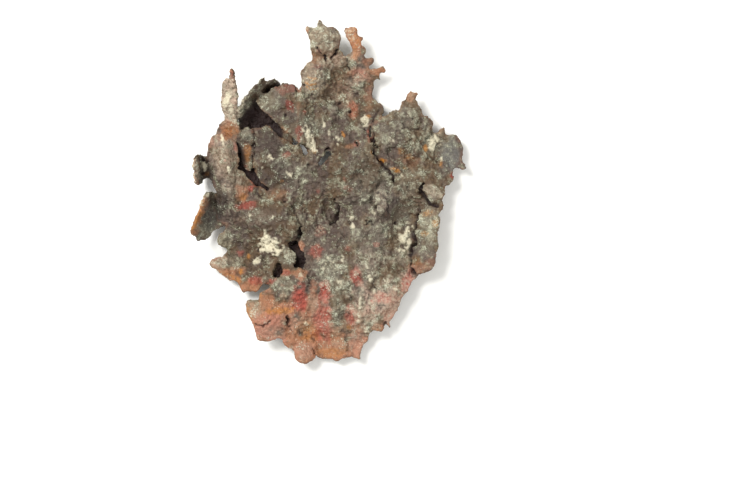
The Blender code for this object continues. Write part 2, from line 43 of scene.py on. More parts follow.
# the sheet's form, all in millimetres
sheet = {
    "node": "copper_sheet",
    "level": 4.7,  # mid thickness of the sheet above the surface it lies on
    "thickness": 2.4,
    "rimThickness": 1.2,
    "rimWidth": 3.5,
    "lumpSize": 6.5,
    "lumpHeight": 0.8,
    "noduleSize": 3.0,
    "noduleHeight": 0.7,
    "ledgeSoftness": 0.6,
    "pointSpacing": 0.6,
    "edgeRagged": 0.3,
    "voxel": 0.37,
    "mostTriangles": 196000,
    # hollows and rises: x, y, half width, half length, height
    "swells": [
        (-25, -17, 9, 8, -4), (24, -12, 7.5, 10, -4), (7, 29, 8, 8, -4), (-1, -45, 11, 7, -3.9),
        (1, -5, 8, 7.5, -4), (34, 12, 7, 6, -2.6), (-1, 47, 6, 5, 2.2), (9, 46, 3.5, 5, 1.6),
        (14, 12, 7, 6, 1.1), (-31, 8, 3.6, 10, 3.6), (-36.6, 6, 2.2, 6, -2.2), (-34.5, -6, 2.2, 6, -2),
        (32, -14, 3, 9, 2.2), (10, -26, 9, 6, 0.9), (-19, -38, 6, 6, 1.2), (22.6, -6, 3.8, 3, -1.4),
        (18.2, -5, 1.2, 3.2, 1), (13.8, -6.8, 0.8, 2, 0.8), (-5.8, -12.4, 1.8, 2.4, 1.1),
        (-4.4, 34, 3.4, 4.6, 1.2), (18, 12.6, 4, 2.4, -0.9), (22, 20, 3.4, 3, 0.8), (8, 22, 3.6, 3, -0.8),
        (4, 6, 3, 2.4, 0.8), (9.4, -15, 3, 3, -0.8), (14.4, -19, 2.6, 3, 0.7), (-13.6, 3.6, 3, 2.4, -0.7),
        (-1, -34, 1.4, 7, -0.7), (3, -35, 1.6, 8, 0.6), (9.4, -35, 1.4, 6, 0.6), (6.4, -37, 1.2, 5, -0.6),
        (13, -33, 1.2, 6, -0.5),
    ],
    # blocks that stand above, or lie below, what is round them: height, outline
    "ledges": [
        (1.2, [(26.4, -5.2), (30, -5.5), (34.5, -4), (35, -18), (33, -25), (27, -26), (24.9, -22.4),
               (25.6, -19), (26.6, -16), (26, -13.5), (27, -10)]),
        (1.1, [(28.6, 2.2), (31, 2.6), (34.6, 0.5), (34.4, -2.4), (31.5, -2.6), (29.2, -0.6)]),
        (-1.2, [(-1.6, -3.2), (1, -2.8), (3, -3.6), (2.8, -6.2), (1.8, -9), (-0.8, -9.4), (-2.2, -6.4)]),
        (0.8, [(13, 19), (16, 22), (22, 26), (27, 27), (31, 20), (27, 12), (20, 7), (16, 11)]),
        (1.0, [(-8.6, 30), (-9, 36.5), (-5.5, 38.6), (-2, 38.8), (0.6, 35), (-1, 30), (-4.5, 28.6)]),
        (0.9, [(-23.5, -4), (-16, -3), (-10.8, -7), (-9.8, -13), (-14, -16.5), (-21, -13), (-25, -9)]),
        (0.8, [(-16.4, -26), (-13.6, -23.6), (-10, -23), (-6, -25), (-6.5, -31), (-13, -33), (-19, -30)]),
        (0.7, [(4, 40), (11, 40.5), (13, 34), (9, 31), (4, 34)]),
        (0.9, [(-1, 12), (3, 13.5), (9, 13), (12, 16), (13.5, 12), (15, 8), (14, 2), (12.5, -2.5),
               (8, -3.5), (3.5, -3), (0, -1.5), (-2, 2), (-2.6, 7)]),
        (-0.8, [(-38, -17), (-28, -17.4), (-21, -15), (-16, -19), (-17, -25), (-24, -31), (-38, -26)]),
        (0.6, [(-27, -33), (-18, -33), (-12.6, -36), (-12.6, -42), (-15, -46), (-26, -46)]),
        (0.6, [(-12, -44), (-8, -43.4), (-4.4, -45), (-3.6, -48), (-4.4, -53), (-12, -53)]),
        (0.6, [(13, -2), (20, 3), (27, 1), (28, -4), (22, -8), (15.6, -7)]),
        (0.9, [(13.6, -1), (15, 0.2), (17.4, -1.4), (18, -5), (16.8, -6.6), (14.6, -5.6)]),
        (0.7, [(2.4, 1), (6.6, 2.4), (8.4, -1.4), (7, -5.4), (3.6, -6.2), (3.2, -2.4)]),
        (-0.6, [(7.6, 6.4), (11.6, 7.6), (13, 4), (10.4, 1.6), (7.4, 3)]),
        (0.7, [(17.6, 17), (22.4, 19.4), (24.6, 16.4), (22, 13.4), (18, 13.6)]),
        (0.6, [(3, -11), (8.6, -11.6), (10, -16), (6.4, -19.4), (1.6, -17), (0.6, -13.4)]),
        (0.6, [(-17, 9.6), (-12.6, 10.6), (-9.6, 7), (-12, 2.6), (-16.6, 3.4)]),
    ],
    "outline": [
        (-6.8, 48.6), (-6.2, 49.8), (-5.6, 49.2), (-4.2, 48.9), (-3.1, 49.2), (-3, 51.2), (-2.5, 51.6),
        (-1.9, 51), (-1.4, 49.9), (-0.2, 49.3), (1.6, 49.2), (2.8, 48.6), (3.4, 47.5), (3.8, 46),
        (3.7, 44.5), (3.3, 43), (3.6, 42.2), (4.4, 41.8), (4.9, 40.5), (5.5, 40.5), (6.3, 41.4),
        (7.5, 41.7), (7.1, 43.2), (6.7, 44.8), (6, 45.2), (5.4, 46.4), (4.8, 48), (5.1, 48.9), (6.8, 49.2),
        (8.4, 49.2), (8.9, 48), (8.9, 46.9), (9.8, 46.6), (10.5, 46.2), (10.4, 45.5), (9.9, 45.1),
        (9.9, 44.1), (10.9, 43.6), (11.4, 42.6), (11.5, 41.5), (10.9, 41.1), (11, 40), (12.2, 40.1),
        (13.7, 40), (13.7, 39.1), (13.2, 38.2), (12.4, 38), (11.9, 37.1), (12.3, 36.7), (13.6, 36.9),
        (15, 37.1), (16.2, 37.5), (16.8, 37.5), (17, 36.9), (17.4, 36.5), (17.1, 35.7), (15.4, 35.7),
        (15.3, 34.8), (15.6, 33.6), (14.6, 34), (13.8, 33.4), (13.6, 32.2), (13.8, 31.3), (13.4, 30.4),
        (13.2, 28.4), (14.1, 27.9), (14.8, 27), (15.2, 26.5), (16.4, 26.1), (17, 25.2), (16.9, 24.2),
        (16.2, 23), (15.2, 21.7), (14.4, 20.8), (13.1, 20), (12.4, 19.2), (12.1, 16.4), (13.1, 16.3),
        (13.2, 19.2), (13.7, 20.2), (14.8, 21), (15.6, 21.9), (17, 22.3), (18.2, 23.1), (19.4, 24.1),
        (20.5, 24.4), (21.3, 24.2), (21.6, 25), (22, 26.2), (22, 27.1), (23.3, 27.6), (23.8, 28.8),
        (24.2, 29.7), (24.8, 30.2), (25.4, 29.7), (26.4, 29.6), (27.1, 29.4), (26.7, 28.6), (26.2, 27.8),
        (26.7, 26.8), (26.8, 25.9), (27.8, 25.2), (28.2, 24), (28.4, 22.9), (29.4, 22.5), (30.6, 21.9),
        (31.4, 21), (31.6, 20.2), (31.1, 19.4), (31.3, 18.6), (31.8, 17.7), (33.1, 17.8), (33.3, 18.6),
        (34, 19), (34.9, 19.1), (35, 18.2), (35.3, 17.1), (36.3, 16.9), (37.4, 17.2), (38.4, 17.1),
        (38.7, 16.4), (39.6, 15.6), (40.2, 14.3), (40.5, 12.8), (40.4, 11), (40.1, 10), (40.4, 8.9),
        (41.1, 8), (41.3, 7), (40.7, 6.5), (39.6, 6.9), (38.6, 7.3), (37.7, 7), (37.4, 6), (37.4, 5),
        (37.8, 4.2), (37.4, 3.3), (36.8, 2.4), (36.3, 1.7), (35.3, 1.9), (34.9, 1.2), (34.9, 0), (34.5, -1),
        (34.2, -2), (34.4, -3.6), (34.3, -5), (33.7, -6.2), (33, -7.2), (33.7, -7.7), (33.6, -9.3),
        (33.4, -11), (32.9, -12.2), (33, -14), (33.1, -16), (32.9, -17.5), (32.4, -18.5), (32.3, -20),
        (32.2, -21.3), (31.8, -22.5), (30.5, -23.9), (29, -24.4), (27, -24.9), (26.3, -25.9), (25.2, -26.8),
        (24.7, -28.2), (24, -29.9), (22.9, -31), (22, -32.2), (21.4, -34), (20.9, -35.6), (20, -37),
        (19.2, -38.2), (18.4, -39.3), (18.4, -39.9), (18.9, -40.7), (18.4, -41), (17.9, -40.2), (17, -39.7),
        (16.8, -40.8), (16.4, -41.8), (15.9, -42.2), (14.8, -41.9), (13.6, -41.5), (12.6, -42.2),
        (12.1, -43.2), (12, -44.4), (11.6, -45.2), (10.6, -46.1), (10.2, -47.2), (10, -48), (9.7, -49.4),
        (9.5, -50.6), (8.5, -50.3), (7, -49.4), (5.5, -50.1), (3.8, -50.3), (2.7, -51), (1, -50.2),
        (-1.3, -50.3), (-3, -49.8), (-3.8, -48.6), (-4, -49.6), (-5, -51), (-6.8, -51.7), (-8.7, -51.3),
        (-9.8, -50.3), (-10.2, -49), (-10.2, -47.8), (-11, -47.3), (-12.3, -46.9), (-13.3, -45.9),
        (-13.8, -44.1), (-15.2, -44.1), (-17, -44.8), (-19.3, -45.1), (-20.3, -44.7), (-21.2, -44.4),
        (-21.5, -43.3), (-22, -41.5), (-22.3, -40), (-23, -38.8), (-23.8, -37.5), (-24.3, -36),
        (-24.6, -34.5), (-24.4, -33.1), (-23.3, -32.4), (-20.8, -32.6), (-20.6, -31.3), (-20.3, -30.3),
        (-18, -29.2), (-16.6, -27.6), (-18.6, -27), (-19.9, -28.2), (-20.9, -29.6), (-21.4, -30.4),
        (-22.9, -30.2), (-24.4, -29.9), (-25.4, -30.2), (-26.3, -29.4), (-26.8, -28.4), (-27.3, -27.3),
        (-28.2, -26.7), (-29.5, -26.7), (-30.5, -26), (-31.5, -25.3), (-32.8, -24.2), (-34, -23.2),
        (-35.2, -22.7), (-35.8, -21.6), (-35, -20.5), (-33.8, -19.8), (-32.3, -19.7), (-31.5, -20),
        (-31.6, -19), (-30.8, -18.1), (-29.5, -17.7), (-28.4, -17), (-30.3, -17.2), (-31.5, -16.8),
        (-32.9, -16.1), (-33.3, -15.2), (-33.2, -13.8), (-32.9, -12.8), (-31.4, -12.2), (-30.8, -11),
        (-30.4, -9.8), (-33, -9), (-34.2, -5), (-34, -1.6), (-33.2, 0.1), (-35, 3.4), (-36.9, 4.4),
        (-37, 8), (-36.2, 11), (-36.1, 13), (-35.2, 15), (-35, 16.2), (-34, 17), (-33, 17.3), (-32.4, 16.8),
        (-31.6, 17.1), (-30.5, 16.3), (-29, 16), (-27.9, 14.8), (-27.3, 13), (-27, 11), (-26.8, 9.5),
        (-26.9, 7.8), (-27.5, 7), (-26.8, 6.6), (-25.8, 6.2), (-25, 5.3), (-24.5, 4.2), (-23.4, 3.3),
        (-22.4, 2.5), (-21.8, 1.5), (-21, 1.6), (-20, 1.4), (-19, 0.9), (-18.2, 0.2), (-17.4, 0.5),
        (-18.5, 1.4), (-20, 2.7), (-21.2, 4.4), (-22, 6), (-22.3, 8), (-22.6, 13), (-22.7, 19.3), (-20, 19),
        (-18.5, 20), (-17.5, 19.6), (-16.8, 18.5), (-15.5, 17.8), (-14.7, 16.6), (-13.4, 15.8),
        (-12.1, 15.2), (-11, 14.4), (-9.4, 13.6), (-8.6, 17), (-9, 24), (-8.4, 29.6), (-7.8, 33.3),
        (-8.1, 35), (-8.2, 36.5), (-6.2, 38), (-4.6, 39.4), (-4.9, 41.5), (-5.3, 43), (-5.2, 45),
        (-5.6, 46.2),
    ],
    "holes": [
        [(-12.4, -15.2), (-9.3, -14.6), (-8.7, -17), (-7.6, -18.3), (-6.9, -19), (-6.7, -21.4),
         (-7.6, -22.9), (-10.8, -23.2), (-9.5, -21.4), (-9.7, -18.9), (-11.6, -17)],
        [(-16.8, -23.4), (-15.6, -21.4), (-14.2, -21.3), (-13.8, -23), (-13.8, -25), (-15.2, -26),
         (-16.8, -25.3)],
        [(-3.1, 7.6), (-2.2, 7.5), (-0.7, 9.4), (0.9, 11), (0.9, 12.2), (-0.6, 12.6), (-1.7, 10.4)],
        [(-8.5, 14.3), (-7.7, 14.7), (-5.9, 11.5), (-6.8, 11)],
        [(8.2, 15.4), (8.9, 15.4), (9.4, 12.9), (8.7, 12.7)],
    ],
}

# the leaves that overlap the sheet or lie below it; level is the mid height where a leaf lies flat
leaves = {
    "upper": {
        "thickness": 2.0, "lift": 2.6,  # it parts from the sheet towards its left end
        "outline": [
            (-21.5, 29), (-21.4, 27.3), (-20.8, 25.5), (-19.6, 23.8), (-18, 23), (-17, 21.6), (-15.7, 20.8),
            (-14.6, 19.5), (-13.2, 18.4), (-11.9, 17.1), (-10.4, 16.3), (-9, 14.6), (-8.3, 14),
            (-5.5, 13.4), (-2, 17), (-1.5, 24), (-4, 29), (-8.6, 30), (-9.4, 31.6), (-12, 32.3),
            (-14.2, 32), (-14.3, 31.1), (-15.5, 31.3), (-17, 30.6), (-18, 29.6), (-20, 29.3),
        ],
    },
    "back": {
        "thickness": 1.3, "level": 2.2, "wallHeight": 6.6,
        "leftBend": (-26.6, 20), "farBend": (-22.3, 29),  # the wall turns up along lines through these
        "outline": [
            (-27.2, 18.4), (-27, 21), (-26.4, 24.2), (-24.8, 27.3), (-23, 29.6), (-22.4, 31), (-21, 31.8),
            (-20.2, 33.2), (-19.2, 34), (-18.3, 32.6), (-17.2, 33), (-16, 33.6), (-14.5, 32.6), (-14, 30.4),
            (-17, 29.8), (-20.2, 29), (-22.4, 26.6), (-23.6, 23.4), (-24.4, 20.4), (-24.4, 16.6),
            (-26.4, 16),
        ],
    },
    "strip": {
        "thickness": 2.0, "level": 2.9, "slope": 0.1,
        "outline": [
            (-26.8, 17.6), (-25.5, 18.7), (-24.2, 19.3), (-23.5, 18.9), (-22.6, 18), (-22.4, 14),
            (-22.5, 10), (-22.8, 6.6), (-23.6, 6), (-25, 6.8), (-25.9, 8.6), (-26.3, 12), (-26.9, 15),
        ],
    },
    "blade": {
        "thickness": 1.8, "level": 3.6, "climb": 0.58, "tilt": 0.35,
        "middle": -29.5, "neck": 19,  # x of its middle, y where it starts to climb
        "outline": [
            (-34, 15.6), (-33.6, 17.4), (-33, 19.4), (-31.2, 21.4), (-30.8, 22.8), (-31.8, 24.6),
            (-32, 26.3), (-31.7, 28.8), (-31.4, 31.5), (-31, 33), (-30.3, 33.4), (-29.1, 33.2),
            (-29.2, 34.5), (-29.1, 35.8), (-28.5, 36.2), (-27.4, 35.6), (-27.6, 34.4), (-27.3, 32),
            (-26.8, 29.3), (-26.8, 27.5), (-27, 25.4), (-27.4, 22.4), (-26.4, 19.6), (-26.2, 16),
            (-28, 14.4), (-31, 14.4),
        ],
    },
    "lowerFlap": {
        "thickness": 1.8, "level": 2.6, "curlHeight": 8.4,
        "foot": (-33.4, 0.13), "rim": (-36.2, 0.4),  # lines across the flap: x at y = 0, and slope
        "outline": [
            (-40.9, -12.4), (-39.8, -9.4), (-38.8, -6.8), (-37.4, -3.4), (-36.2, -0.7), (-35, 0),
            (-34, -0.4), (-32.4, -2), (-31.2, -5), (-30.6, -9), (-31.4, -10.4), (-33.8, -11.3),
            (-35.4, -13), (-37.2, -14.7), (-38.8, -14.7), (-39.8, -13.6),
        ],
    },
    "upperFlap": {
        "thickness": 1.4, "level": 2.2, "curlHeight": 7.6,
        "foot": -38, "curlWidth": 1.5,  # x where the curl starts, and how wide it is
        "crystal": (-37, 7.8, 0.9, 1.5, 1.8),  # x, y, half width, half length, height
        "outline": [
            (-38.8, 1.6), (-39.5, 3), (-39.9, 5), (-40, 8), (-39.6, 10.3), (-38.6, 11.1), (-36.6, 10.7),
            (-34.6, 9.4), (-33.6, 7), (-34, 4.4), (-36.4, 4.2), (-37.8, 3.4),
        ],
    },
    # this leaf and the next are guessed: they close openings in the sheet, and where they show they carry
    # painted shade
    "lower": {
        "thickness": 1.5, "level": 1.7, "joinHeight": 2.4, "backHeight": 1.6,
        "outline": [
            (-28.6, 12), (-28.2, 6), (-25, 2), (-19, -1.6), (-14, 1), (-11, 8), (-10.4, 15), (-12.6, 22),
            (-16, 28), (-20, 30), (-23.6, 27.6), (-26.4, 22), (-27.4, 16),
        ],
    },
    "lowest": {
        "thickness": 1.4, "level": 1.5, "rimHeight": 2.4, "centre": (-12, -20), "radius": 8,
        "outline": [
            (-21, -21.6), (-19, -16), (-15, -12), (-9, -10.6), (-4.6, -12.6), (-2.6, -18), (-3.6, -25),
            (-8, -29), (-14, -30), (-19, -27.6),
        ],
    },
}


def smoothStep(value):
    t = np.clip(value, 0, 1)
    return t * t * (3 - 2 * t)


def segmentDistance(points, a, b):
    along = np.subtract(b, a)
    offset = points - a
    t = np.clip(offset @ along / (along @ along), 0, 1)
    return np.hypot(*(offset - t[:, None] * along).T)


def distanceInside(points, outline):  # positive inside
    x, y = points.T
    best = np.full(len(points), 1e9)
    inside = np.zeros(len(points), bool)
    corners = np.array(outline, float)
    for a, b in zip(corners, np.roll(corners, -1, axis=0)):
        best = np.minimum(best, segmentDistance(points, a, b))
        if a[1] != b[1]:
            crosses = (a[1] > y) != (b[1] > y)
            inside ^= crosses & (x < a[0] + (y - a[1]) * (b[0] - a[0]) / (b[1] - a[1]))
    return np.where(inside, best, -best)


def pathDistance(points, path):
    best = np.full(len(points), 1e9)
    for a, b in zip(path, path[1:]):
        best = np.minimum(best, segmentDistance(points, a, b))
    return best


def lumps(points, size, layer):  # smooth noise from -0.6 to 0.6 or so
    return np.array([noise.noise(Vector((x / size, y / size, layer))) for x, y in points])


def sheetHeight(points):
    x, y = points.T
    height = np.full(len(points), sheet["level"])
    for cx, cy, wide, long, rise in sheet["swells"]:
        height += rise * np.exp(-((x - cx) / wide) ** 2 - ((y - cy) / long) ** 2)
    for rise, outline in sheet["ledges"]:
        height += rise * smoothStep(0.5 + distanceInside(points, outline) / sheet["ledgeSoftness"])
    return height + sheet["lumpHeight"] * lumps(points, sheet["lumpSize"], 1.7)


def upperHeight(points):
    return sheetHeight(points) + leaves["upper"]["lift"] * smoothStep((-3 - points[:, 0]) / 6)


def backHeight(points):  # a thin wall that turns up along its left and far sides
    leaf = leaves["back"]
    x, y = points.T
    left = (y - leaf["leftBend"][1]) / 2.24 - 0.89 * (x - leaf["leftBend"][0])
    far = 0.955 * (y - leaf["farBend"][1]) - 0.296 * (x - leaf["farBend"][0])
    far -= 1.6 * smoothStep((x + 22) / 4)
    ragged = 1 + 0.5 * lumps(points * (1, 0.4), 2.2, 6.1)
    rise = np.maximum(smoothStep(left - 0.7), smoothStep((far + 0.7) / 1.6))
    return leaf["level"] + leaf["wallHeight"] * ragged * rise + 0.4 * lumps(points, 4, 5.1)


def stripHeight(points):
    leaf = leaves["strip"]
    return leaf["level"] + leaf["slope"] * (points[:, 1] - 6) + 0.4 * lumps(points, 4, 7.3)


def bladeHeight(points):  # it climbs beyond its neck, and one edge stands higher
    leaf = leaves["blade"]
    x, y = points.T
    climb = leaf["climb"] * np.clip(y - leaf["neck"], 0, None) + leaf["tilt"] * (x - leaf["middle"])
    return leaf["level"] + climb + 0.7 * lumps(points, 4, 9.2)


def lowerFlapHeight(points):  # it curls up from its foot to a ragged rim
    leaf = leaves["lowerFlap"]
    x, y = points.T
    foot, rim = [start + slope * y for start, slope in (leaf["foot"], leaf["rim"])]
    climb = smoothStep(0.9 * (foot - x) / (foot - rim)) ** 1.3
    ragged = 1 + 0.35 * lumps(points * (0.3, 1), 2.7, 3.9) + 0.15 * lumps(points * (0.3, 1), 0.9, 6.9)
    return leaf["level"] + leaf["curlHeight"] * ragged * climb + 0.5 * lumps(points, 4.5, 3.3)


def upperFlapHeight(points):  # a steep curl with a crystal of calcite behind it
    leaf = leaves["upperFlap"]
    x, y = points.T
    ragged = 1 + 0.35 * lumps(points * (0.3, 1), 2.4, 4.9) + 0.2 * lumps(points * (0.3, 1), 0.9, 5.9)
    climb = smoothStep((leaf["foot"] - x) / leaf["curlWidth"])
    cx, cy, wide, long, height = leaf["crystal"]
    crystal = height * np.exp(-((x - cx) / wide) ** 2 - ((y - cy) / long) ** 2)
    return leaf["level"] + leaf["curlHeight"] * ragged * climb + crystal


def lowerHeight(points):  # it rises to join the sheet on its right and the wall at its back
    leaf = leaves["lower"]
    x, y = points.T
    rise = leaf["joinHeight"] * smoothStep((x + 16) / 5) + leaf["backHeight"] * smoothStep((y - x - 44) / 6)
    return leaf["level"] + rise + 0.35 * lumps(points, 5, 6.6)


def lowestHeight(points):  # a shallow dish that joins the sheet all round
    leaf = leaves["lowest"]
    outward = np.hypot(*(points - leaf["centre"]).T / leaf["radius"])
    rise = leaf["rimHeight"] * smoothStep((outward - 0.75) / 0.5)
    return leaf["level"] + rise + 0.3 * lumps(points, 4, 8.8)


def raggedOutline(outline):
    corners = np.array(outline, float)
    points = []
    for a, b in zip(corners, np.roll(corners, -1, axis=0)):
        parts = max(1, round(np.linalg.norm(b - a) / sheet["pointSpacing"]))
        points += [a + (b - a) * part / parts for part in range(parts)]
    points = np.array(points)
    shift = np.column_stack((lumps(points, 0.9, 11.3), lumps(points, 0.9, 23.7)))
    return points + sheet["edgeRagged"] * shift


def fillPoints(outline, holes):
    spacing = sheet["pointSpacing"]
    low, high = outline.min(axis=0), outline.max(axis=0)
    rows = []
    for row, y in enumerate(np.arange(low[1], high[1], spacing * 0.866)):
        x = np.arange(low[0] + (row % 2) * spacing / 2, high[0], spacing)
        rows.append(np.column_stack((x, np.full(len(x), y))))
    points = np.vstack(rows)
    keep = distanceInside(points, outline) > 0.45 * spacing
    for hole in holes:
        keep &= distanceInside(points, hole) < -0.45 * spacing
    return points[keep]


def triangulate(outline, holes):
    loops = [raggedOutline(loop) for loop in (outline, *holes)]
    points = np.vstack(loops + [fillPoints(loops[0], loops[1:])])
    edges, start = [], 0
    for loop in loops:
        ring = list(range(start, start + len(loop)))
        edges += list(zip(ring, ring[1:] + ring[:1]))
        start += len(loop)
    made = delaunay_2d_cdt([Vector(p) for p in points.tolist()], edges, [], 1, 1e-5)
    flat = np.array([tuple(v) for v in made[0]])
    faces = np.array([tuple(face) for face in made[2]])
    centres = flat[faces].mean(axis=1)
    solid = distanceInside(centres, loops[0]) > 0
    for hole in loops[1:]:
        solid &= distanceInside(centres, hole) < 0
    return flat, [tuple(face) for face in faces[solid].tolist()]


def plate(outline, height, thickness, holes=()):  # one leaf with a thin rim
    flat, faces = triangulate(outline, holes)
    inward = distanceInside(flat, outline)
    for hole in holes:
        inward = np.minimum(inward, -distanceInside(flat, hole))
    rim = sheet["rimThickness"]
    half = 0.5 * (rim + (thickness - rim) * smoothStep(inward / sheet["rimWidth"]))
    nodules = sheet["noduleHeight"] * lumps(flat, sheet["noduleSize"], 2.9)
    halfTop = half + nodules * smoothStep(inward / 1.5)
    step = 0.2
    slopes = [(height(flat + d) - height(flat - d)) / (2 * step) for d in ((step, 0), (0, step))]
    normals = np.column_stack((-slopes[0], -slopes[1], np.ones(len(flat))))
    normals /= np.linalg.norm(normals, axis=1)[:, None]
    middle = np.column_stack((flat, height(flat)))
    count = len(flat)
    used = {(a, b) for face in faces for a, b in zip(face, face[1:] + face[:1])}
    closed = faces + [tuple(i + count for i in reversed(face)) for face in faces]
    closed += [(b, a, a + count, b + count) for a, b in sorted(used) if (b, a) not in used]
    return np.vstack((middle + normals * halfTop[:, None], middle - normals * half[:, None])), closed


def growSheet():
    plates = [plate(sheet["outline"], sheetHeight, sheet["thickness"], sheet["holes"])]
    heights = {
        "upper": upperHeight, "back": backHeight, "strip": stripHeight, "blade": bladeHeight,
        "lowerFlap": lowerFlapHeight, "upperFlap": upperFlapHeight, "lower": lowerHeight,
        "lowest": lowestHeight,
    }
    for name, leaf in leaves.items():
        plates.append(plate(leaf["outline"], heights[name], leaf["thickness"]))
    points, faces, start = [], [], 0
    for platePoints, plateFaces in plates:
        points.append(platePoints)
        faces += [tuple(i + start for i in face) for face in plateFaces]
        start += len(platePoints)
    mesh = bpy.data.meshes.new("rough")
    mesh.from_pydata([tuple(p) for p in (np.vstack(points) * mm).tolist()], [], faces)
    rough = bpy.data.objects.new("rough", mesh)
    bpy.context.scene.collection.objects.link(rough)
    remesh = rough.modifiers.new("Grown together", "REMESH")
    remesh.mode = "VOXEL"
    remesh.voxel_size = sheet["voxel"] * mm
    graph = bpy.context.evaluated_depsgraph_get()
    skin = bpy.data.meshes.new_from_object(rough.evaluated_get(graph))
    bpy.data.objects.remove(rough, do_unlink=True)
    return skin


def readPoints(mesh):
    points = np.empty(len(mesh.vertices) * 3, np.float32)
    mesh.vertices.foreach_get("co", points)
    normals = np.empty(len(mesh.vertices) * 3, np.float32)
    mesh.vertices.foreach_get("normal", normals)
    return points.reshape(-1, 3).astype(float) / mm, normals.reshape(-1, 3).astype(float)


# the relief of the skin, in millimetres; a share is of the full relief
relief = {
    "grainSize": 1.15,  # rounded grains
    "grainHeight": 0.28,
    "grainRound": 0.45,  # a low value gives flatter grains with narrower grooves between them
    "knobSize": 2.6,  # rounded knobs where the sheet is nodular
    "knobHeight": 0.5,
    "knobShare": 0.15,  # left of them elsewhere
    "lumpySize": 2.3,  # lumps with sharp creases between them
    "lumpyHeight": 0.65,
    "blockSize": 3.6,  # flat facets, each tilted its own way
    "blockHeight": 1.5,
    "blockShare": 0.2,  # left of them elsewhere
    "fineSize": 0.9,  # roughness between the grains
    "fineHeight": 0.32,
    "rimWidth": 2.4,  # the relief fades towards the thin rim
    "rimShare": 0.5,
    "underside": 0.45,  # share of the relief below, which is worn
    "smoothShare": 0.5,  # share of the relief left on the smooth patches
    "crustHeight": 0.15,
    "crackWander": 0.55,  # how far a crack strays from its path
    "crackWanderSize": 1.1,
    "gape": (0.35, 1.4),  # share of its width where a crack is narrowest and widest
    "gapeSize": 2.2,
    "streakSize": 1.1,  # width of the streaks in the dusting
    "shadeDepth": (0.5, 1.7),  # ground this far below the sheet starts to lie in the dark, and is dark
    "lowest": 0.02,  # nothing lies flat against the surface below
}

# open seams between the blocks: half width, depth, path
cracks = [
    (0.75, 1.7, [(12.4, 19), (12.9, 17), (13.5, 15.4), (14.6, 13.2)]),
    (0.55, 1.2, [(14.6, 13.2), (14.1, 11.6), (15.6, 9.4), (17, 7.2), (18.1, 6), (19.3, 4.8), (19.6, 3)]),
    (0.55, 1.7, [(2, -2.6), (2.8, -3.8), (2.6, -6), (2.1, -8.4), (0.3, -10)]),
    (0.45, 0.7, [(-11.4, -3.6), (-10.2, -5), (-9.6, -7.2), (-8.5, -9.4), (-7.8, -10.4)]),
    (0.4, 0.6, [(-6.4, -6), (-6.3, -8), (-7, -9.6), (-7.8, -10.4)]),
    (0.8, 2, [(-7.6, -10), (-8.4, -11.6), (-8.8, -13.4), (-9.6, -15), (-11, -15.8)]),
    (0.7, 1.6, [(27.4, -5.8), (26.7, -8), (26.1, -11), (25.5, -13.6), (26.2, -15.4), (25, -16.8),
                (24.7, -19), (24.9, -22.4), (25.8, -24.6)]),
    (0.7, 1.4, [(28.6, 2.6), (27.6, 0.4), (28.5, -1.6), (30.4, -3.6), (33, -4.2)]),
    (0.45, 0.5, [(13.2, -1.5), (12.8, -3.4), (14.4, -5), (15.4, -7.2)]),
    (0.45, 0.5, [(15, -0.2), (17, -1.6), (18.4, -4.2), (18.2, -6.8)]),
    (0.32, 1, [(-3.2, 42.8), (-2.2, 41.3), (-0.7, 40.4), (-0.6, 38.4)]),
    (0.36, 1, [(3.2, 42.4), (2.1, 41.1), (1, 39.7)]),
    (0.32, 0.35, [(-3.2, 43.6), (-1.8, 44.6), (0.4, 44.2), (2.4, 44.8)]),
    (0.32, 0.9, [(5.6, 40.2), (6, 38.2), (6.8, 36)]),
    (0.5, 1.8, [(-12.1, -37.4), (-11.7, -39), (-11.9, -40.2), (-11, -41.4)]),
    (0.3, 0.6, [(-21.8, -39.9), (-19.6, -40.4), (-18.2, -39.8), (-17, -38.8)]),
    (0.35, 0.5, [(-3.8, -48.8), (-4.6, -46.8)]),
    (0.35, 0.4, [(-5.2, -23.6), (-5.8, -26), (-5.2, -28.6)]),
    (0.6, 1.2, [(-22.7, 18.8), (-22.6, 14), (-22.6, 10), (-22.6, 6.4)]),
    (0.5, 1.2, [(-9.4, 30), (-9.3, 31.8), (-8.2, 32.6), (-7.2, 31.6)]),
    (0.4, 0.4, [(-7.4, 29.6), (-5.4, 28.8), (-2.8, 29.2)]),
    (0.45, 0.6, [(13.2, 20.4), (13.8, 22.6), (15, 24.2)]),
    (0.4, 0.4, [(10.4, 12.6), (11.6, 10.4), (12.2, 8)]),
    (0.4, 0.45, [(-16.4, 15.2), (-14.6, 13.6), (-12.2, 13.8), (-10.4, 12)]),
    (0.4, 0.4, [(22, 22.6), (22.6, 20), (24.6, 18.4), (27.6, 18.8)]),
    (0.4, 0.45, [(31.2, 17.6), (32.4, 14.4), (31.8, 11), (33, 8)]),
    (0.45, 0.8, [(11.6, -9.6), (12.8, -8.8), (13.8, -10.4)]),
    (0.4, 0.3, [(-27.2, 3.4), (-28.2, 0.6), (-26.8, -1.6)]),
    (0.4, 0.5, [(-21, 1.4), (-21.6, -0.6), (-19.8, -2)]),
    (0.4, 0.4, [(6.6, -27), (6.2, -30), (7.2, -33)]),
    (0.4, 0.5, [(14.6, -25.4), (13.2, -27.6), (14.6, -30.4)]),
    (0.4, 0.4, [(5.2, -43.4), (6, -46), (5.6, -49.4)]),
]

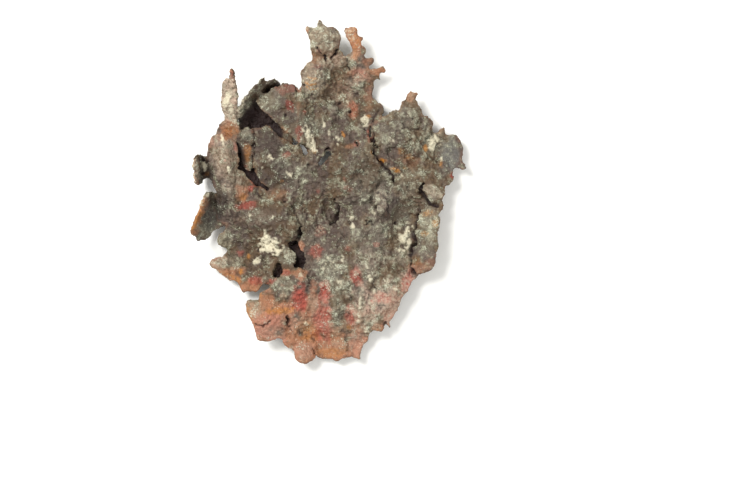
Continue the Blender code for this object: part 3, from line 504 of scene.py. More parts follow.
# little round hollows: x, y, radius, depth
pits = [
    # the first three are shallow: they mostly paint shade into the pocket behind the upper flap
    (-37.6, 9.7, 1.1, 0.3), (-37.5, 5.4, 0.9, 0.3), (-36.2, 9, 0.7, 0.2),
    (-0.2, 12.8, 1, 1.8), (8.9, 14.3, 0.7, 1.6), (12.4, -9.2, 0.6, 1.4), (17.2, -39.5, 0.8, 1.6),
    (11.4, -8.8, 0.5, 1), (2.7, 41.9, 0.6, 1.4), (14.9, -0.4, 0.6, 1), (6.4, 24, 0.6, 0.8),
    (-5.8, 8, 0.6, 0.8), (10.8, 18.4, 0.6, 0.9), (20.4, -9.4, 0.6, 0.8), (-13, -3, 0.6, 0.8),
    (-21, -17.6, 0.6, 0.8), (25.4, 21.6, 0.6, 0.8), (3.6, 26.4, 0.6, 0.8), (-12.6, 22.8, 0.6, 0.8),
]

# patches: x, y, half width, half length, strength, and a turn in degrees (anticlockwise) where there is one
minerals = {
    "cream": [  # calcite crust
        (-18.8, -13.9, 1.5, 2, 1, 35), (-17.2, -16.3, 2.8, 2.2, 1, -15), (-15.6, -17.6, 1.5, 1, 1, -20),
        (-21.4, -20.5, 0.9, 1.4, 0.85, -25), (21, -11, 1.3, 0.5, 0.65, -5), (23.8, -11.6, 1, 2.2, 0.7, -25),
        (22.2, -14.6, 0.9, 1.7, 0.65, 20), (22.6, -17.2, 1.4, 0.8, 0.65), (24.4, -15.4, 0.7, 1.4, 0.7),
        (-6.4, 18, 1.5, 1.7, 0.75, 25), (-5.2, 14.8, 1.4, 2.9, 0.85, 15), (-1.2, 20, 0.7, 0.8, 0.6),
        (0.3, 17.6, 0.6, 1, 0.55), (2.7, 15, 0.6, 1.7, 0.6, 10), (11.3, 21.2, 1.4, 1.9, 0.65, 20),
        (31.8, 15.2, 2, 1.8, 0.75), (31, 13.2, 0.9, 1.2, 0.65), (19, 15.6, 0.8, 1, 0.5),
        (7, -8.2, 0.7, 1.1, 0.75), (7.4, -10.2, 0.5, 1.3, 0.7, 10), (-11, 5, 0.8, 1.4, 0.7, 35),
        (-17.3, 10, 1, 0.9, 0.65), (-16.6, -7.7, 0.6, 0.5, 0.5), (4.3, -20, 0.5, 1.3, 0.7),
        (-30, 28, 1.2, 1.6, 0.8, -20), (-28.8, 24.2, 0.7, 2, 0.7), (-31, 25.6, 0.6, 1.2, 0.65),
        (-31.5, 15.3, 0.4, 1.7, 0.9, 12), (-29.5, 6.6, 0.4, 1.2, 0.9, 15), (-37.1, 7.8, 0.8, 1.4, 0.9, 10),
        (12.5, -26, 0.5, 1.7, 0.75, 10), (12, -23.4, 0.4, 1.3, 0.5, 15), (13.6, -29.4, 0.6, 1, 0.6),
        (22.2, 4.6, 0.8, 0.7, 0.6), (13.8, -6.5, 0.5, 1.3, 0.45, 15), (-1.7, -23.2, 1.2, 0.8, 0.6),
        (3.2, -27, 0.9, 0.6, 0.5), (20.4, -29.2, 1.6, 0.4, 0.5, -28), (17, -26.4, 1.6, 0.3, 0.4, -38),
        (11.3, -41.6, 0.6, 0.6, 0.65), (-23.6, -7.3, 0.9, 0.5, 0.45, 30), (-8, -25, 0.7, 0.5, 0.5),
        (-19.9, 6.2, 0.35, 1.1, 0.45, -20), (5.7, 27.4, 0.6, 0.6, 0.5), (-5, 47.4, 0.9, 1.2, 0.45, 30),
        (9.6, -33.6, 0.4, 2.2, 0.55), (9.2, -38, 0.4, 1.4, 0.5), (-7, -39.4, 0.7, 0.7, 0.4),
        (0.6, -21.4, 1.2, 0.5, 0.5, 20), (34, 9.4, 0.5, 0.9, 0.5),
    ],
    "pale": [  # dusting of green-grey malachite
        (0.8, -23.6, 4.8, 4.6, 0.95), (3.4, -28, 3, 3, 0.7, 30), (-11.6, -19.8, 2.6, 2.6, 1),
        (-13, -28.2, 3.4, 3, 0.7), (-8.4, 20, 4, 4, 0.2), (-4.4, 34.4, 3.6, 4.8, 0.95),
        (-1.6, 46, 4.6, 4.4, 0.85), (-18.4, 27, 3, 3, 0.7), (-20, 26, 1, 3, 0.8, -20),
        (-13.6, 29.4, 3.6, 2, 0.35), (-24.6, 17, 1.8, 2, 0.9), (-21.6, -7.6, 5, 1.4, 0.35, -8),
        (-31, -14.6, 2.8, 3, 0.8), (-32, -21.6, 2.6, 2, 0.95, -30), (-28, -20.6, 3, 2, 0.5),
        (8.4, -13.6, 4, 5, 0.4), (15, -12, 4, 4, 0.5), (12.6, -24, 3, 5, 0.5, 15), (9.6, -30, 1, 3, 0.7),
        (9.4, -37, 1, 3.2, 0.8), (12, -39.4, 2.6, 2.4, 0.8), (2.8, -36, 2, 7, 0.6),
        (2.4, -45.4, 1.6, 1, 0.6), (21.6, -20, 3, 1.8, 0.6), (18, -32, 5, 5, 0.35), (-9.6, 5, 4.5, 4, 0.3),
        (29.8, -10.4, 3.2, 5, 0.9), (29.4, -17, 3, 3, 0.4), (31.4, -0.4, 2.6, 2.4, 0.7),
        (-29.4, 27, 2.6, 7, 0.45), (31, 15, 4.6, 4.4, 0.6), (23, 21, 5, 5, 0.45), (18, 17, 4, 4, 0.4),
        (-7.6, -9, 2, 2.2, 0.5), (21.6, -10.6, 4, 5, 0.35), (-31, 10, 4, 7, 0.2), (-29, 1, 3.4, 4, 0.3),
        (8.2, 32.4, 3, 2.4, 0.6), (4, 28, 5, 5, 0.3), (24, 3, 4, 4, 0.4), (-25.4, 24.4, 1.2, 5, 0.85, -25),
        (-21.7, -34, 1.6, 1.2, 0.8), (-36.4, -11.6, 2.8, 2.6, 0.7), (-4.6, -34, 1.4, 3, 0.5),
        (9, -1, 5, 5, 0.2), (11, 12, 3.6, 3.6, 0.3), (36, 15, 2.6, 1.8, 0.5), (-39.2, 6.6, 0.8, 4.6, 0.8),
        (-5, -13, 4, 3, 0.3), (-21.6, -35.4, 2.2, 2.2, 0.7), (-8, -40, 3, 3, 0.45),
        (7.6, 40, 2.4, 2.6, 0.5), (-12, 9, 4, 3, 0.2), (14, -18, 4, 4, 0.35), (15, -3, 3, 4, 0.45),
        (17.6, 4, 3, 3, 0.4), (-4, 19, 4, 3, 0.5), (-7, -48, 2, 3, 0.35), (4, -46.4, 3, 2, 0.4),
        (-16, -42, 3, 2, 0.35), (-22.4, -34.4, 1.8, 3, 0.7), (6.8, 47.4, 1.4, 2.2, 0.7),
        (25.4, 28.4, 1.4, 1.6, 0.5),
    ],
    "red": [  # cuprite
        (-29.8, 18.4, 2.2, 2.4, 0.35), (-24.4, -4.2, 3, 1.3, 0.75, 8), (-23.1, 0.6, 0.8, 1.1, 0.8),
        (-11.3, 25.8, 1.1, 1.9, 0.75, 10), (-12, 30.4, 3, 1.4, 0.4), (-8.4, 17.6, 1, 2.2, 0.7),
        (7.7, 25.4, 1.4, 2.4, 0.35, -10), (-3.4, -17.8, 2.2, 2.2, 0.55), (-1.2, -30.2, 1.6, 3, 1),
        (-8.4, -31.6, 2, 3.6, 1, 10), (-1.6, -38.4, 2.4, 5.6, 0.8, -10), (-0.4, -44, 1.4, 2, 0.5),
        (8.4, -25.8, 2, 2.6, 0.75), (7, -36.6, 1.8, 3, 0.75), (15.8, -32, 2.8, 1.7, 0.95, 10),
        (24, -27, 1.4, 3.4, 0.9, -20), (18.6, -37.4, 1.6, 2.6, 0.3, -25), (-21.5, -26.6, 2.2, 1.6, 0.6),
        (-17, -39.6, 4, 4.6, 0.25), (-2.6, 42, 0.8, 0.8, 0.45), (-12.5, 11, 1.4, 1.2, 0.4),
        (-3, 37.2, 1.6, 1, 0.45), (-17, -27, 1.6, 0.8, 0.6, 30), (37.3, 4.6, 0.9, 1.2, 0.75),
        (-26.4, -18.6, 1.2, 1, 0.5), (-30.7, 9.2, 0.4, 0.5, 0.6), (-12.6, -24.4, 1.8, 0.8, 0.6),
        (9.4, 35.2, 2.4, 1.4, 0.3), (-27.6, 26.6, 0.8, 1.4, 0.35), (-28.2, 34, 0.8, 1.8, 0.4),
        (-35, 14.6, 0.8, 1.6, 0.35), (-27.6, 13.4, 0.5, 1.4, 0.5), (6, -17.2, 1.2, 1, 0.4),
        (13.6, -36, 2, 2.4, 0.3), (12.3, 17, 0.6, 2, 0.5), (-33, -19.4, 1.6, 0.8, 0.3),
        (20, -33.4, 1.8, 2.4, 0.3), (6.2, 0.8, 1, 1, 0.35), (5, 3.6, 0.8, 0.8, 0.3),
        (-2, -11.6, 1.6, 1.6, 0.3), (8.6, 14.2, 0.9, 1, 0.45), (-3, 0, 0.6, 0.6, 0.3),
        (14.6, -16, 0.9, 0.7, 0.45), (-7, 24, 0.7, 0.7, 0.4),
    ],
    "tan": [  # rubbed copper and its thin brown skin
        (-18.6, -38.6, 6.4, 7.4, 1), (-6.8, -46.6, 7, 6.2, 1), (1.6, -46.6, 7, 4.6, 0.95),
        (-4.6, -38.6, 5.4, 6.4, 0.85), (-12.4, -35.4, 4, 3, 0.9), (-10.8, -41.8, 3.6, 4.4, 1),
        (-29.6, -25, 5, 2, 0.9, -30), (-23.4, -28.6, 4, 1.8, 1), (-33.6, -20.4, 2.8, 1.2, 0.35, 20),
        (-26.2, -24, 1.6, 1.4, 0.6), (-25.8, -0.8, 2.2, 2.2, 0.8), (-24.6, 11.4, 1, 3.6, 0.55),
        (-12.4, -24.2, 3.6, 1.2, 0.7), (-8, -24.6, 2.4, 1.6, 0.7), (-4.2, -30.6, 1.2, 4, 0.6),
        (8, 45.4, 2.8, 4.8, 1, 10), (14.8, 36.4, 3.2, 1.4, 0.8), (12, 39, 2, 1.4, 0.5),
        (25.4, 28.6, 1.8, 1.8, 0.8), (-30, 18.6, 3, 2.8, 0.8), (9.6, -47.4, 3, 3.6, 0.9),
        (15.4, -41, 3.2, 1.2, 0.8), (8, -40, 3.4, 4.4, 0.5), (-15, -1, 3, 1.6, 0.3, 10),
        (26.8, -23, 2.4, 2, 0.5), (18.6, -36.6, 2.4, 4, 0.35, -25), (12.4, 30, 1.4, 5, 0.35),
        (-8.4, -16.4, 1.2, 1.4, 0.9), (24, 9, 3.4, 2, 0.3), (9.2, 35, 3.4, 2, 0.45),
        (-6.6, 48.2, 0.8, 1, 1), (7.7, 25.2, 1.3, 2.6, 0.7), (4, 30, 4, 4, 0.25), (-2, 44, 4.6, 5, 0.2),
        (6.6, 13.6, 1.2, 0.8, 0.5), (-4.6, 34, 3, 4, 0.35), (-4, 39, 1.6, 3, 0.4),
        (33.4, 18.6, 0.9, 0.8, 0.6), (30.4, -22, 3, 2, 0.3), (-28.4, 35.6, 0.8, 0.9, 0.7),
        (20.4, -31.4, 2.4, 3.4, 0.3, -25), (30.4, -6.6, 2.4, 1, 0.25),
    ],
    "rust": [  # limonite
        (16.4, 9, 1, 0.7, 1), (20.2, 6.4, 1.3, 0.6, 0.85, -20), (23, 7, 0.6, 0.5, 0.5),
        (29.3, 13, 0.7, 1, 0.7), (4.6, 17.2, 0.4, 1, 0.75, 20), (-4.2, 12, 0.5, 0.8, 0.6, 10),
        (12, 22.6, 0.8, 0.6, 0.6), (29.6, -6.6, 1.4, 1, 0.4), (32, -9.4, 0.8, 1.4, 0.55),
        (28.6, -12.6, 1.2, 0.8, 0.45), (26.6, -20.6, 1.4, 1.6, 0.2), (-24, -19.4, 0.5, 0.8, 0.6),
        (-14.6, -35.8, 3.6, 1, 0.6), (-6, -42.6, 2.8, 2.8, 0.4), (8, 46, 2, 4, 0.35),
        (34, 8.4, 0.6, 1.1, 0.55), (6.1, -40.8, 0.9, 0.7, 0.6), (-24.4, 10.6, 0.9, 3.4, 0.35),
        (-29.6, 18.2, 2.4, 2.4, 0.35), (-25.4, -1.6, 1.2, 1, 0.4), (-26.3, -24.2, 0.6, 1, 0.8),
        (-13.8, 3, 0.6, 0.5, 0.4), (22, 12, 1.2, 0.8, 0.35), (-9.4, -17.6, 0.5, 0.8, 0.7),
        (1.6, -48.2, 4.6, 1.5, 0.3), (-24, -37, 1, 3, 0.4, 15), (-28.6, -25.6, 3, 0.8, 0.5, -30),
        (-36.4, 5.4, 0.8, 0.5, 0.25), (13.2, 11.6, 0.5, 0.8, 0.6), (-22, -31, 2, 0.8, 0.4),
        (-39.4, -8, 1.2, 4.6, 0.6, -20), (24.6, 10, 1.2, 0.8, 0.3),
    ],
    "slate": [  # grey skin
        (37, 11, 3, 4.4, 1), (34.6, 6.4, 2, 2.4, 0.5), (22, -5, 3.4, 3, 0.3),
        (-35.6, -7.6, 2.6, 5, 0.8, -20), (12, 2, 6, 6, 0.25), (20, -2, 6, 5, 0.25),
    ],
    "bloom": [  # pinkish white film
        (-29.4, 27, 3.2, 8, 1), (-31.6, 11, 4, 7, 0.5), (-28, 3.4, 3.6, 3.6, 0.4),
        (-30.4, 1.4, 1.4, 1.4, 0.8), (17.4, -33, 5, 6, 0.75, -15), (19, -37, 2.8, 3.8, 1, -25),
        (24, -27.4, 2.4, 4.4, 0.8, -20), (11, -35, 5, 6, 0.7), (-33, -20.6, 2.8, 1.6, 0.8),
        (-1.6, 46, 4, 4, 0.25), (31.4, -0.4, 2.4, 2.2, 0.5), (-7, -47.6, 3, 3, 0.6),
        (-17.6, -40.6, 5, 4.4, 0.85), (12.6, -21, 4, 4, 0.3), (10, 35, 3.4, 2.4, 0.4),
        (-4, 35, 3, 3.4, 0.3), (-11.6, -37.6, 3, 4, 0.6), (8.6, -45, 2.6, 4.6, 0.6), (-21, -8, 5, 2, 0.3),
        (22, -20, 3, 2, 0.3), (-39.2, 6.4, 0.8, 4.4, 0.8), (2, 39.6, 4, 2, 0.4), (-2, -37, 3, 6, 0.5),
        (7, 47, 1.8, 2.6, 0.6), (15.8, -3, 2, 3, 0.4),
    ],
    "dark": [  # tenorite, and painted shade in the valley, the pockets behind the flaps, on steep walls and in the gaps
        (-15, 24, 6, 5, 0.3, -30), (-8.6, 20.6, 4, 4, 0.55), (-34, -3, 2.6, 5, 0.9),
        (-20, -8.6, 6, 5, 0.75), (-32.4, -4.6, 2.2, 5, 1, -15), (-36.8, 7.6, 1.6, 3.6, 1),
        (17.1, -39.5, 0.7, 0.6, 1), (-17.8, 14.6, 5.4, 5.4, 0.8), (-16, 6, 5.4, 5, 0.8),
        (-35.2, 6.4, 1.8, 4.4, 0.9), (22, -5.4, 3.8, 3.2, 0.45), (-15.4, -10.4, 4.6, 3.6, 0.45),
        (-0.6, 6, 5, 4, 0.35), (-0.8, -6.4, 2, 3, 0.4), (9, 6, 5, 5, 0.3), (-22.6, -14, 3, 2, 0.35),
        (-29.4, 2.6, 3.6, 4, 0.4), (25.4, -17.6, 0.8, 4, 0.7), (-12, 21, 3.4, 2, 0.25, -40),
        (-11.3, 25.8, 1.3, 2, 0.7, 10), (-12, 30.2, 3.4, 1.6, 0.4), (-8.4, 17.6, 1.2, 2.2, 0.7),
        (13.6, -28.4, 1.6, 1.8, 0.2), (15.4, 25, 1.6, 1.8, 0.4), (-27, -12.6, 3, 2, 0.3),
        (22, 10, 5, 3, 0.3), (-24.6, 12, 1.8, 5, 1), (-29.6, 18.4, 2.4, 2.6, 1),
        (-39.6, -8, 1.4, 5, 0.9, -20), (-20.6, 31.8, 3, 1.6, 0.7, 30), (-16.4, 32.4, 3, 1.6, 0.8),
        (-35.4, -7.6, 2.2, 4.4, 0.65, -20), (5.6, 20, 2.6, 2, 0.35),
    ],
}

# where wear and mineral follow an edge: strength, half width, path
edges = {
    "tan": [
        (0.4, 0.7, [(-20.2, 24.8), (-19, 23.4), (-17.4, 21.8)]),
        (0.5, 0.8, [(-13.6, 18.8), (-12.4, 17.8)]),
        (0.9, 1.5, [(-40.6, -12.4), (-39.6, -9.4), (-38.4, -6), (-37, -3)]),
        (0.8, 0.9, [(-40, 9), (-40, 5), (-39.2, 2.4)]),
        (0.6, 0.7, [(-24.5, -34.5), (-23.8, -37.5), (-22, -41.5), (-20.3, -44.7), (-15, -44.4)]),
        (0.8, 0.7, [(-10, -49), (-8.7, -51.1), (-5.4, -51.2), (-3.8, -49.4)]),
        (0.7, 0.7, [(-3, -49.8), (2.7, -50.6), (9, -50.2), (10.4, -46.6)]),
        (0.5, 0.6, [(19.4, -38), (21.4, -34), (24, -30), (25.6, -26.6)]),
        (0.6, 0.5, [(-7.4, 32.6), (-8.4, 31.4), (-9, 30.2)]),
    ],
    "pale": [
        (0.45, 1.2, [(-38.2, -4.8), (-37, -2.6), (-35.2, -0.4)]),
        (0.8, 0.9, [(-26.8, 20.6), (-26.2, 23.4), (-25, 26.4), (-23.6, 28.8)]),
        (0.5, 0.5, [(-21.4, 32.2), (-19.6, 33.6)]),
        # a painted highlight along the upper edge of the lobe's lower tongue
        (0.7, 0.5, [(-27.6, 6.4), (-25.6, 5.8), (-24, 4)]),
        (0.6, 0.5, [(-2.6, -20.4), (-0.6, -19), (2, -19.4)]),
        (0.5, 0.6, [(17, -26.6), (19.4, -28.6), (21.8, -30.2)]),
        (0.6, 0.5, [(-14, 13), (-12.6, 13.8), (-11.4, 12.6)]),
        (0.7, 0.6, [(27.6, -14), (28.4, -9), (28.8, -5.8)]),
    ],
    "red": [
        (0.4, 0.6, [(-24.8, 7.6), (-22.4, 3.2), (-21.4, 1.4)]),
        (0.35, 0.5, [(-15.6, 31), (-12.6, 31.6), (-9.6, 31.2)]),
    ],
    "cream": [
        (0.6, 0.6, [(-40, 10), (-40.2, 6), (-39.6, 3)]),
        (0.3, 0.6, [(-37.8, -3.8), (-36, -1)]),
    ],
    "rust": [
        (0.75, 0.3, [(-6.3, 34.3), (-5, 33.5), (-3.4, 33.4)]),
        (0.75, 0.3, [(-6.8, 32.8), (-5.4, 31.9), (-3.7, 32.2)]),
        (0.65, 0.3, [(-6.3, 31), (-4.8, 30.3), (-3.3, 30.7)]),
    ],
}

# low ground that lies open to the light
openPatches = [
    (-30, 18.4, 4, 3.2, 1), (-36, -11, 4, 4, 1), (-37.2, 7.8, 1, 1.5, 1),
]

# where the skin is smoother, knobbly, or broken into tilted blocks
smoothPatches = [
    (-31, 11, 4, 7, 1), (-24.6, 12, 2, 7, 1), (-27, 3, 3.4, 3.4, 0.8), (-24, -3.6, 4, 2.6, 0.6),
    (22, -6, 3.6, 3.4, 1), (31.4, -0.4, 2.4, 2.4, 1), (29.8, -14, 3.2, 9, 0.8), (37, 11, 3.4, 5, 1),
    (-18.6, -38.6, 5, 6, 0.8), (-7, -48, 3, 4, 0.9), (3, -46, 7, 4.4, 0.8), (-1.4, -37, 4, 7, 0.8),
    (-16, 14, 5, 5, 0.6), (-17, 25, 4, 4, 0.4), (-36, -8, 4, 8, 0.7), (-29.5, 27, 3.4, 9, 1),
    (16, -34, 6, 5, 0.9), (-18, -9, 5, 4, 0.5), (8, -26, 3, 3, 0.6), (0, 45, 5, 5, 0.7), (9, 45, 3, 5, 1),
    (14, 37, 4, 4, 0.8), (0, 39, 4, 3, 0.8), (-20, 32, 6, 3, 0.6), (-32, -22, 4, 3, 0.6),
    (-14, 28, 4, 4, 0.4),
]
knobbyPatches = [
    (22, 22, 8, 6, 1), (20, 14, 7, 6, 0.8), (34, 16, 4, 3, 0.6), (14, 3, 7, 6, 0.5), (17, -3, 4, 5, 0.6),
    (10, 38, 5, 5, 0.4), (-4.6, 35, 4, 5, 0.5), (2, 46, 5, 4, 0.3), (-13, -28, 4, 4, 0.7),
    (-13, -19, 4, 4, 0.7), (-31, -15, 4, 4, 0.5), (6, 22, 8, 5, 0.6), (2, -24, 5, 5, 0.5),
    (-30, -24, 6, 4, 0.6), (-3, 7, 7, 6, 0.4), (12, -38, 5, 5, 0.3),
]
blockyPatches = [
    (17, -2, 7, 8, 1), (8, 3, 9, 9, 0.7), (8, -10, 8, 6, 0.7), (-8, -9, 5, 5, 0.7), (21, 12, 8, 8, 0.6),
    (4, 22, 9, 7, 0.6), (-4, 10, 6, 6, 0.5), (-12, -22, 6, 5, 0.5), (12, -22, 8, 6, 0.5),
    (4, -36, 6, 8, 0.3), (30, -13, 4, 9, 0.4), (-28, -20, 6, 5, 0.5),
]

# where the dusting runs in streaks along the growth
streakyPatches = [
    (12, -33, 10, 12, 1), (2, -38, 5, 8, 0.6), (-29.5, 26, 3, 8, 0.9), (-31, 10, 4, 8, 0.5),
]


# how the edge of a patch strays: size of its lobes in mm, how far they reach, and how soft it is
patchEdges = {
    "mineral": (2.4, 0.7, 0.4), "texture": (3, 0.4, 0.4), "streak": (3, 0.5, 0.5), "open": (2, 0.2, 0.3),
}


def patchMask(points, patches, kind):
    size, wander, soft = patchEdges[kind]
    edge = wander * (lumps(points, size, 31.1) + 0.6 * lumps(points, 0.45 * size, 37.7))
    mask = np.zeros(len(points))
    for cx, cy, wide, long, strength, *turn in patches:
        angle = math.radians(turn[0] if turn else 0)
        c, s = math.cos(angle), math.sin(angle)
        dx, dy = points[:, 0] - cx, points[:, 1] - cy
        reach = np.hypot((dx * c + dy * s) / wide, (dy * c - dx * s) / long)
        mask = np.maximum(mask, strength * (1 - smoothStep((reach + edge - 1 + soft) / (2 * soft))))
    return mask


def edgeMask(points, lines):
    mask = np.zeros(len(points))
    for strength, halfWidth, path in lines:
        mask = np.maximum(mask, strength * (1 - smoothStep(pathDistance(points, path) / halfWidth - 0.4)))
    return mask


def voronoiNear(points, size):
    return np.array([noise.voronoi(Vector(p / size))[0][:2] for p in points])


def roughNoise(points, size):
    return np.array([noise.fractal(Vector(p / size), 0.9, 2.1, 3) for p in points])


def creasedNoise(points, size):
    return np.array([noise.turbulence(Vector(p / size), 4, True, amplitude_scale=0.6) for p in points])


def blockNoise(points, size):  # flat facets, each tilted and lifted its own way
    heights = []
    for p in points:
        here = Vector(p / size)
        centre = noise.voronoi(here)[1][0]
        turn = noise.cell_vector(centre * 41) - Vector((0.5, 0.5, 0.5))
        heights.append((here - centre).dot(turn) + 0.4 * turn.z)
    return np.array(heights)


def store(mesh, name, *channels):
    layer = mesh.attributes.new(name, "FLOAT_COLOR", "POINT")
    layer.data.foreach_set("color", np.column_stack(channels).astype(np.float32).ravel())


def raised(points, wandered, inward, up, lumpy, fine):  # the relief before cracks and crust
    flat = points[:, :2]
    near = voronoiNear(points, relief["grainSize"])
    grain = smoothStep((near[:, 1] - near[:, 0]) / relief["grainRound"])
    knob = np.clip(1 - (voronoiNear(points, relief["knobSize"])[:, 0] / 0.62) ** 2, 0, 1)
    block = blockNoise(np.column_stack((wandered, points[:, 2])), relief["blockSize"])
    smoother = 1 - (1 - relief["smoothShare"]) * patchMask(flat, smoothPatches, "texture")
    knobby = relief["knobShare"] + patchMask(flat, knobbyPatches, "texture")
    blocky = relief["blockShare"] + patchMask(flat, blockyPatches, "texture")
    # what is taken off each keeps the sheet at its level
    lift = relief["grainHeight"] * (grain - 0.6) + relief["lumpyHeight"] * (lumpy - lumpy.mean())
    lift = smoother * (lift + relief["fineHeight"] * fine) + relief["knobHeight"] * knobby * (knob - 0.35)
    lift += relief["blockHeight"] * blocky * smoother * block
    lift *= relief["rimShare"] + (1 - relief["rimShare"]) * smoothStep(inward / relief["rimWidth"])
    return lift * (relief["underside"] + (1 - relief["underside"]) * up)


def cutCracks(flat, wandered):  # how deep the skin is cut, and how much painted shade lies there
    gape = np.clip(1 + 1.6 * lumps(flat, relief["gapeSize"], 53.1), *relief["gape"])
    depths, crackShade = np.zeros(len(flat)), np.zeros(len(flat))
    for halfWidth, depth, path in cracks:
        away = pathDistance(wandered, path) / (halfWidth * gape)
        depths = np.maximum(depths, depth * (1 - smoothStep(away)))
        crackShade = np.maximum(crackShade, min(1, depth) * (1 - smoothStep(1.5 * away - 0.4)))
    for x, y, radius, depth in pits:
        away = np.hypot(wandered[:, 0] - x, wandered[:, 1] - y) / radius
        depths = np.maximum(depths, depth * (1 - smoothStep(away)))
        crackShade = np.maximum(crackShade, 1 - smoothStep(1.4 * away - 0.4))
    return depths, crackShade


def mineralMasks(flat, wandered, up, sides):
    masks = {}
    for name, patches in minerals.items():
        # the dark patches, tenorite and partly painted shade, and the slate reach down the steep walls too
        facing = sides if name in ("dark", "slate") else up
        masks[name] = facing * patchMask(flat, patches, "mineral")
    for name, lines in edges.items():
        masks[name] = np.maximum(masks[name], up * edgeMask(wandered, lines))
    return masks


def weather(skin):
    points, normals = readPoints(skin)
    flat = points[:, :2]
    up = smoothStep(normals[:, 2] * 1.4 + 0.4)  # 1 on top, 0 below
    sides = smoothStep(2 * normals[:, 2] + 1)  # 1 on steep walls too
    inward = np.abs(distanceInside(flat, sheet["outline"]))
    wander = np.column_stack([lumps(flat, relief["crackWanderSize"], layer) for layer in (41.3, 47.9)])
    wandered = flat + relief["crackWander"] * wander
    lumpy = creasedNoise(points, relief["lumpySize"])
    fine = roughNoise(points, relief["fineSize"])
    lift = raised(points, wandered, inward, up, lumpy, fine)
    carve, crack = cutCracks(flat, wandered)
    masks = mineralMasks(flat, wandered, up, sides)
    # the crust is broken up by the lumps, and the dusting by streaks
    cream = smoothStep((masks["cream"] + 0.8 * (lumpy - 0.5) + 0.6 * fine - 0.3) / 0.35)
    cream *= (masks["cream"] > 0.02) * (0.45 + 0.55 * masks["cream"])
    streak = smoothStep((roughNoise(points * (1, 0.3, 1), relief["streakSize"]) - 0.05) / 0.4)
    pale = np.maximum(masks["pale"], up * streak * patchMask(flat, streakyPatches, "streak"))
    lift += relief["crustHeight"] * cream - up * carve
    moved = points + normals * lift[:, None]
    skin.vertices.foreach_set("co", (moved * mm).astype(np.float32).ravel())

    # painted shade on low ground that lies well below the sheet, such as the leaves seen through its
    # openings
    start, full = relief["shadeDepth"]
    below = sheetHeight(flat) - points[:, 2]
    shaded = up * (1 - patchMask(flat, openPatches, "open"))
    deep = shaded * smoothStep((below - start) / (full - start))
    # the rim is rubbed in spots, and high is 1 on a grain, 0 in a groove
    tan = np.maximum(masks["tan"], 0.25 * (1 - smoothStep(inward / 0.8)) * (lumpy > 0.4))
    high = np.clip(0.5 + lift / 0.8, 0, 1)
    store(skin, "growth", cream, pale, masks["red"], tan)
    store(skin, "stainAndShade", masks["rust"], masks["slate"], masks["dark"], up * crack)
    store(skin, "lie", high, up, deep, masks["bloom"])
    skin.update()


def linear(code):  # an sRGB hex value as linear light
    values = [int(code[i:i + 2], 16) / 255 for i in (1, 3, 5)]
    return [v / 12.92 if v <= 0.04045 else ((v + 0.055) / 1.055) ** 2.4 for v in values] + [1]


def addNode(tree, kind, inputs=(), **settings):  # an input is a value or another node's output
    node = tree.nodes.new("ShaderNode" + kind)
    for name, value in settings.items():
        setattr(node, name, value)
    for socket, value in dict(inputs).items():
        if isinstance(value, bpy.types.NodeSocket):
            tree.links.new(value, node.inputs[socket])
        else:
            node.inputs[socket].default_value = value
    return node.outputs


# Weathered native copper: brown skins of cuprite and tenorite over the metal, dusted with green-grey
# malachite and crusted with calcite. It looks earthy and dull, and gleams faintly where it is rubbed.
# Shade is painted into its grooves, cracks and the leaves below the sheet, and glints into its pale specks.
copper = {
    "brown": "#5f4b35", "mauve": "#594a40", "olive": "#686049", "liver": "#683d2f",  # tarnish
    "tan": "#a37152", "pinkish": "#ad7660", "bloom": "#c0a490",  # rubbed copper, and a film on it
    "malachite": "#a3a18a", "verdigris": "#66776a", "dustAndGlint": "#c6c8b2",
    "calcite": "#d5ccb0", "cuprite": "#a74f40", "limonite": "#b0742c", "slate": "#605f5a",
    "shadow": "#261b14", "gapShade": "#1e0906",  # painted shade: in hollows, in the gaps between the leaves and on the leaves below them
    "patterns": {"broad": (8, 3), "middling": (2.6, 3), "small": (0.9, 4), "tiny": (0.4, 2)},  # mm, detail
    "patternRoughness": 0.6,
    "crystalSize": 0.75,  # mm across a grain of the crystalline skin
    "crystalBend": 0.7,  # how far the grains' edges stray, as a share of a grain
    "bumpDepth": 0.35,  # mm
    "bumpTiny": 0.5,  # share of the tiny pattern in the bump
    "bumpCrystals": -0.6,  # the crystals' edges are grooves
    "specular": 0.35,  # most of the skin is earthy, with less gloss than a plastic or a glaze
    "roughness": (0.42, 0.85),  # it changes from grain to grain
    "metallic": 0.3,  # where the skin is rubbed thin
    "rubbed": (0.2, 0.44),  # values of the middling pattern where wear starts and is full
}


def skinMasks(add):  # where each mineral grows, as stored on the skin
    masks = []
    for name in ("growth", "stainAndShade", "lie"):
        layer = add("Attribute", attribute_name=name)
        masks += [*add("SeparateColor", {0: layer["Color"]})[:3], layer["Alpha"]]
    return masks


def skinPatterns(add):  # noise of four sizes, each from its own place, and the grain of the crystals
    where = add("TexCoord")["Object"]
    patterns = []
    for number, (size, detail) in enumerate(copper["patterns"].values(), 1):
        shifted = add("Mapping", {0: where, 1: (0.01 * number, 0.007 * number, 0)})[0]
        settings = {"Scale": 1 / (size * mm), "Detail": detail, "Roughness": copper["patternRoughness"]}
        patterns.append(add("TexNoise", {0: shifted, **settings})["Fac"])
    bend = add("TexNoise", {0: where, "Scale": 1 / (copper["patterns"]["small"][0] * mm)})["Color"]
    reach = copper["crystalBend"] * copper["crystalSize"] * mm
    bend = add("VectorMath", {0: bend, "Scale": reach}, operation="SCALE")[0]
    bent = add("VectorMath", {0: where, 1: bend}, operation="ADD")[0]
    away = add("TexVoronoi", {0: bent, "Scale": 1 / (copper["crystalSize"] * mm)})["Distance"]
    return *patterns, away


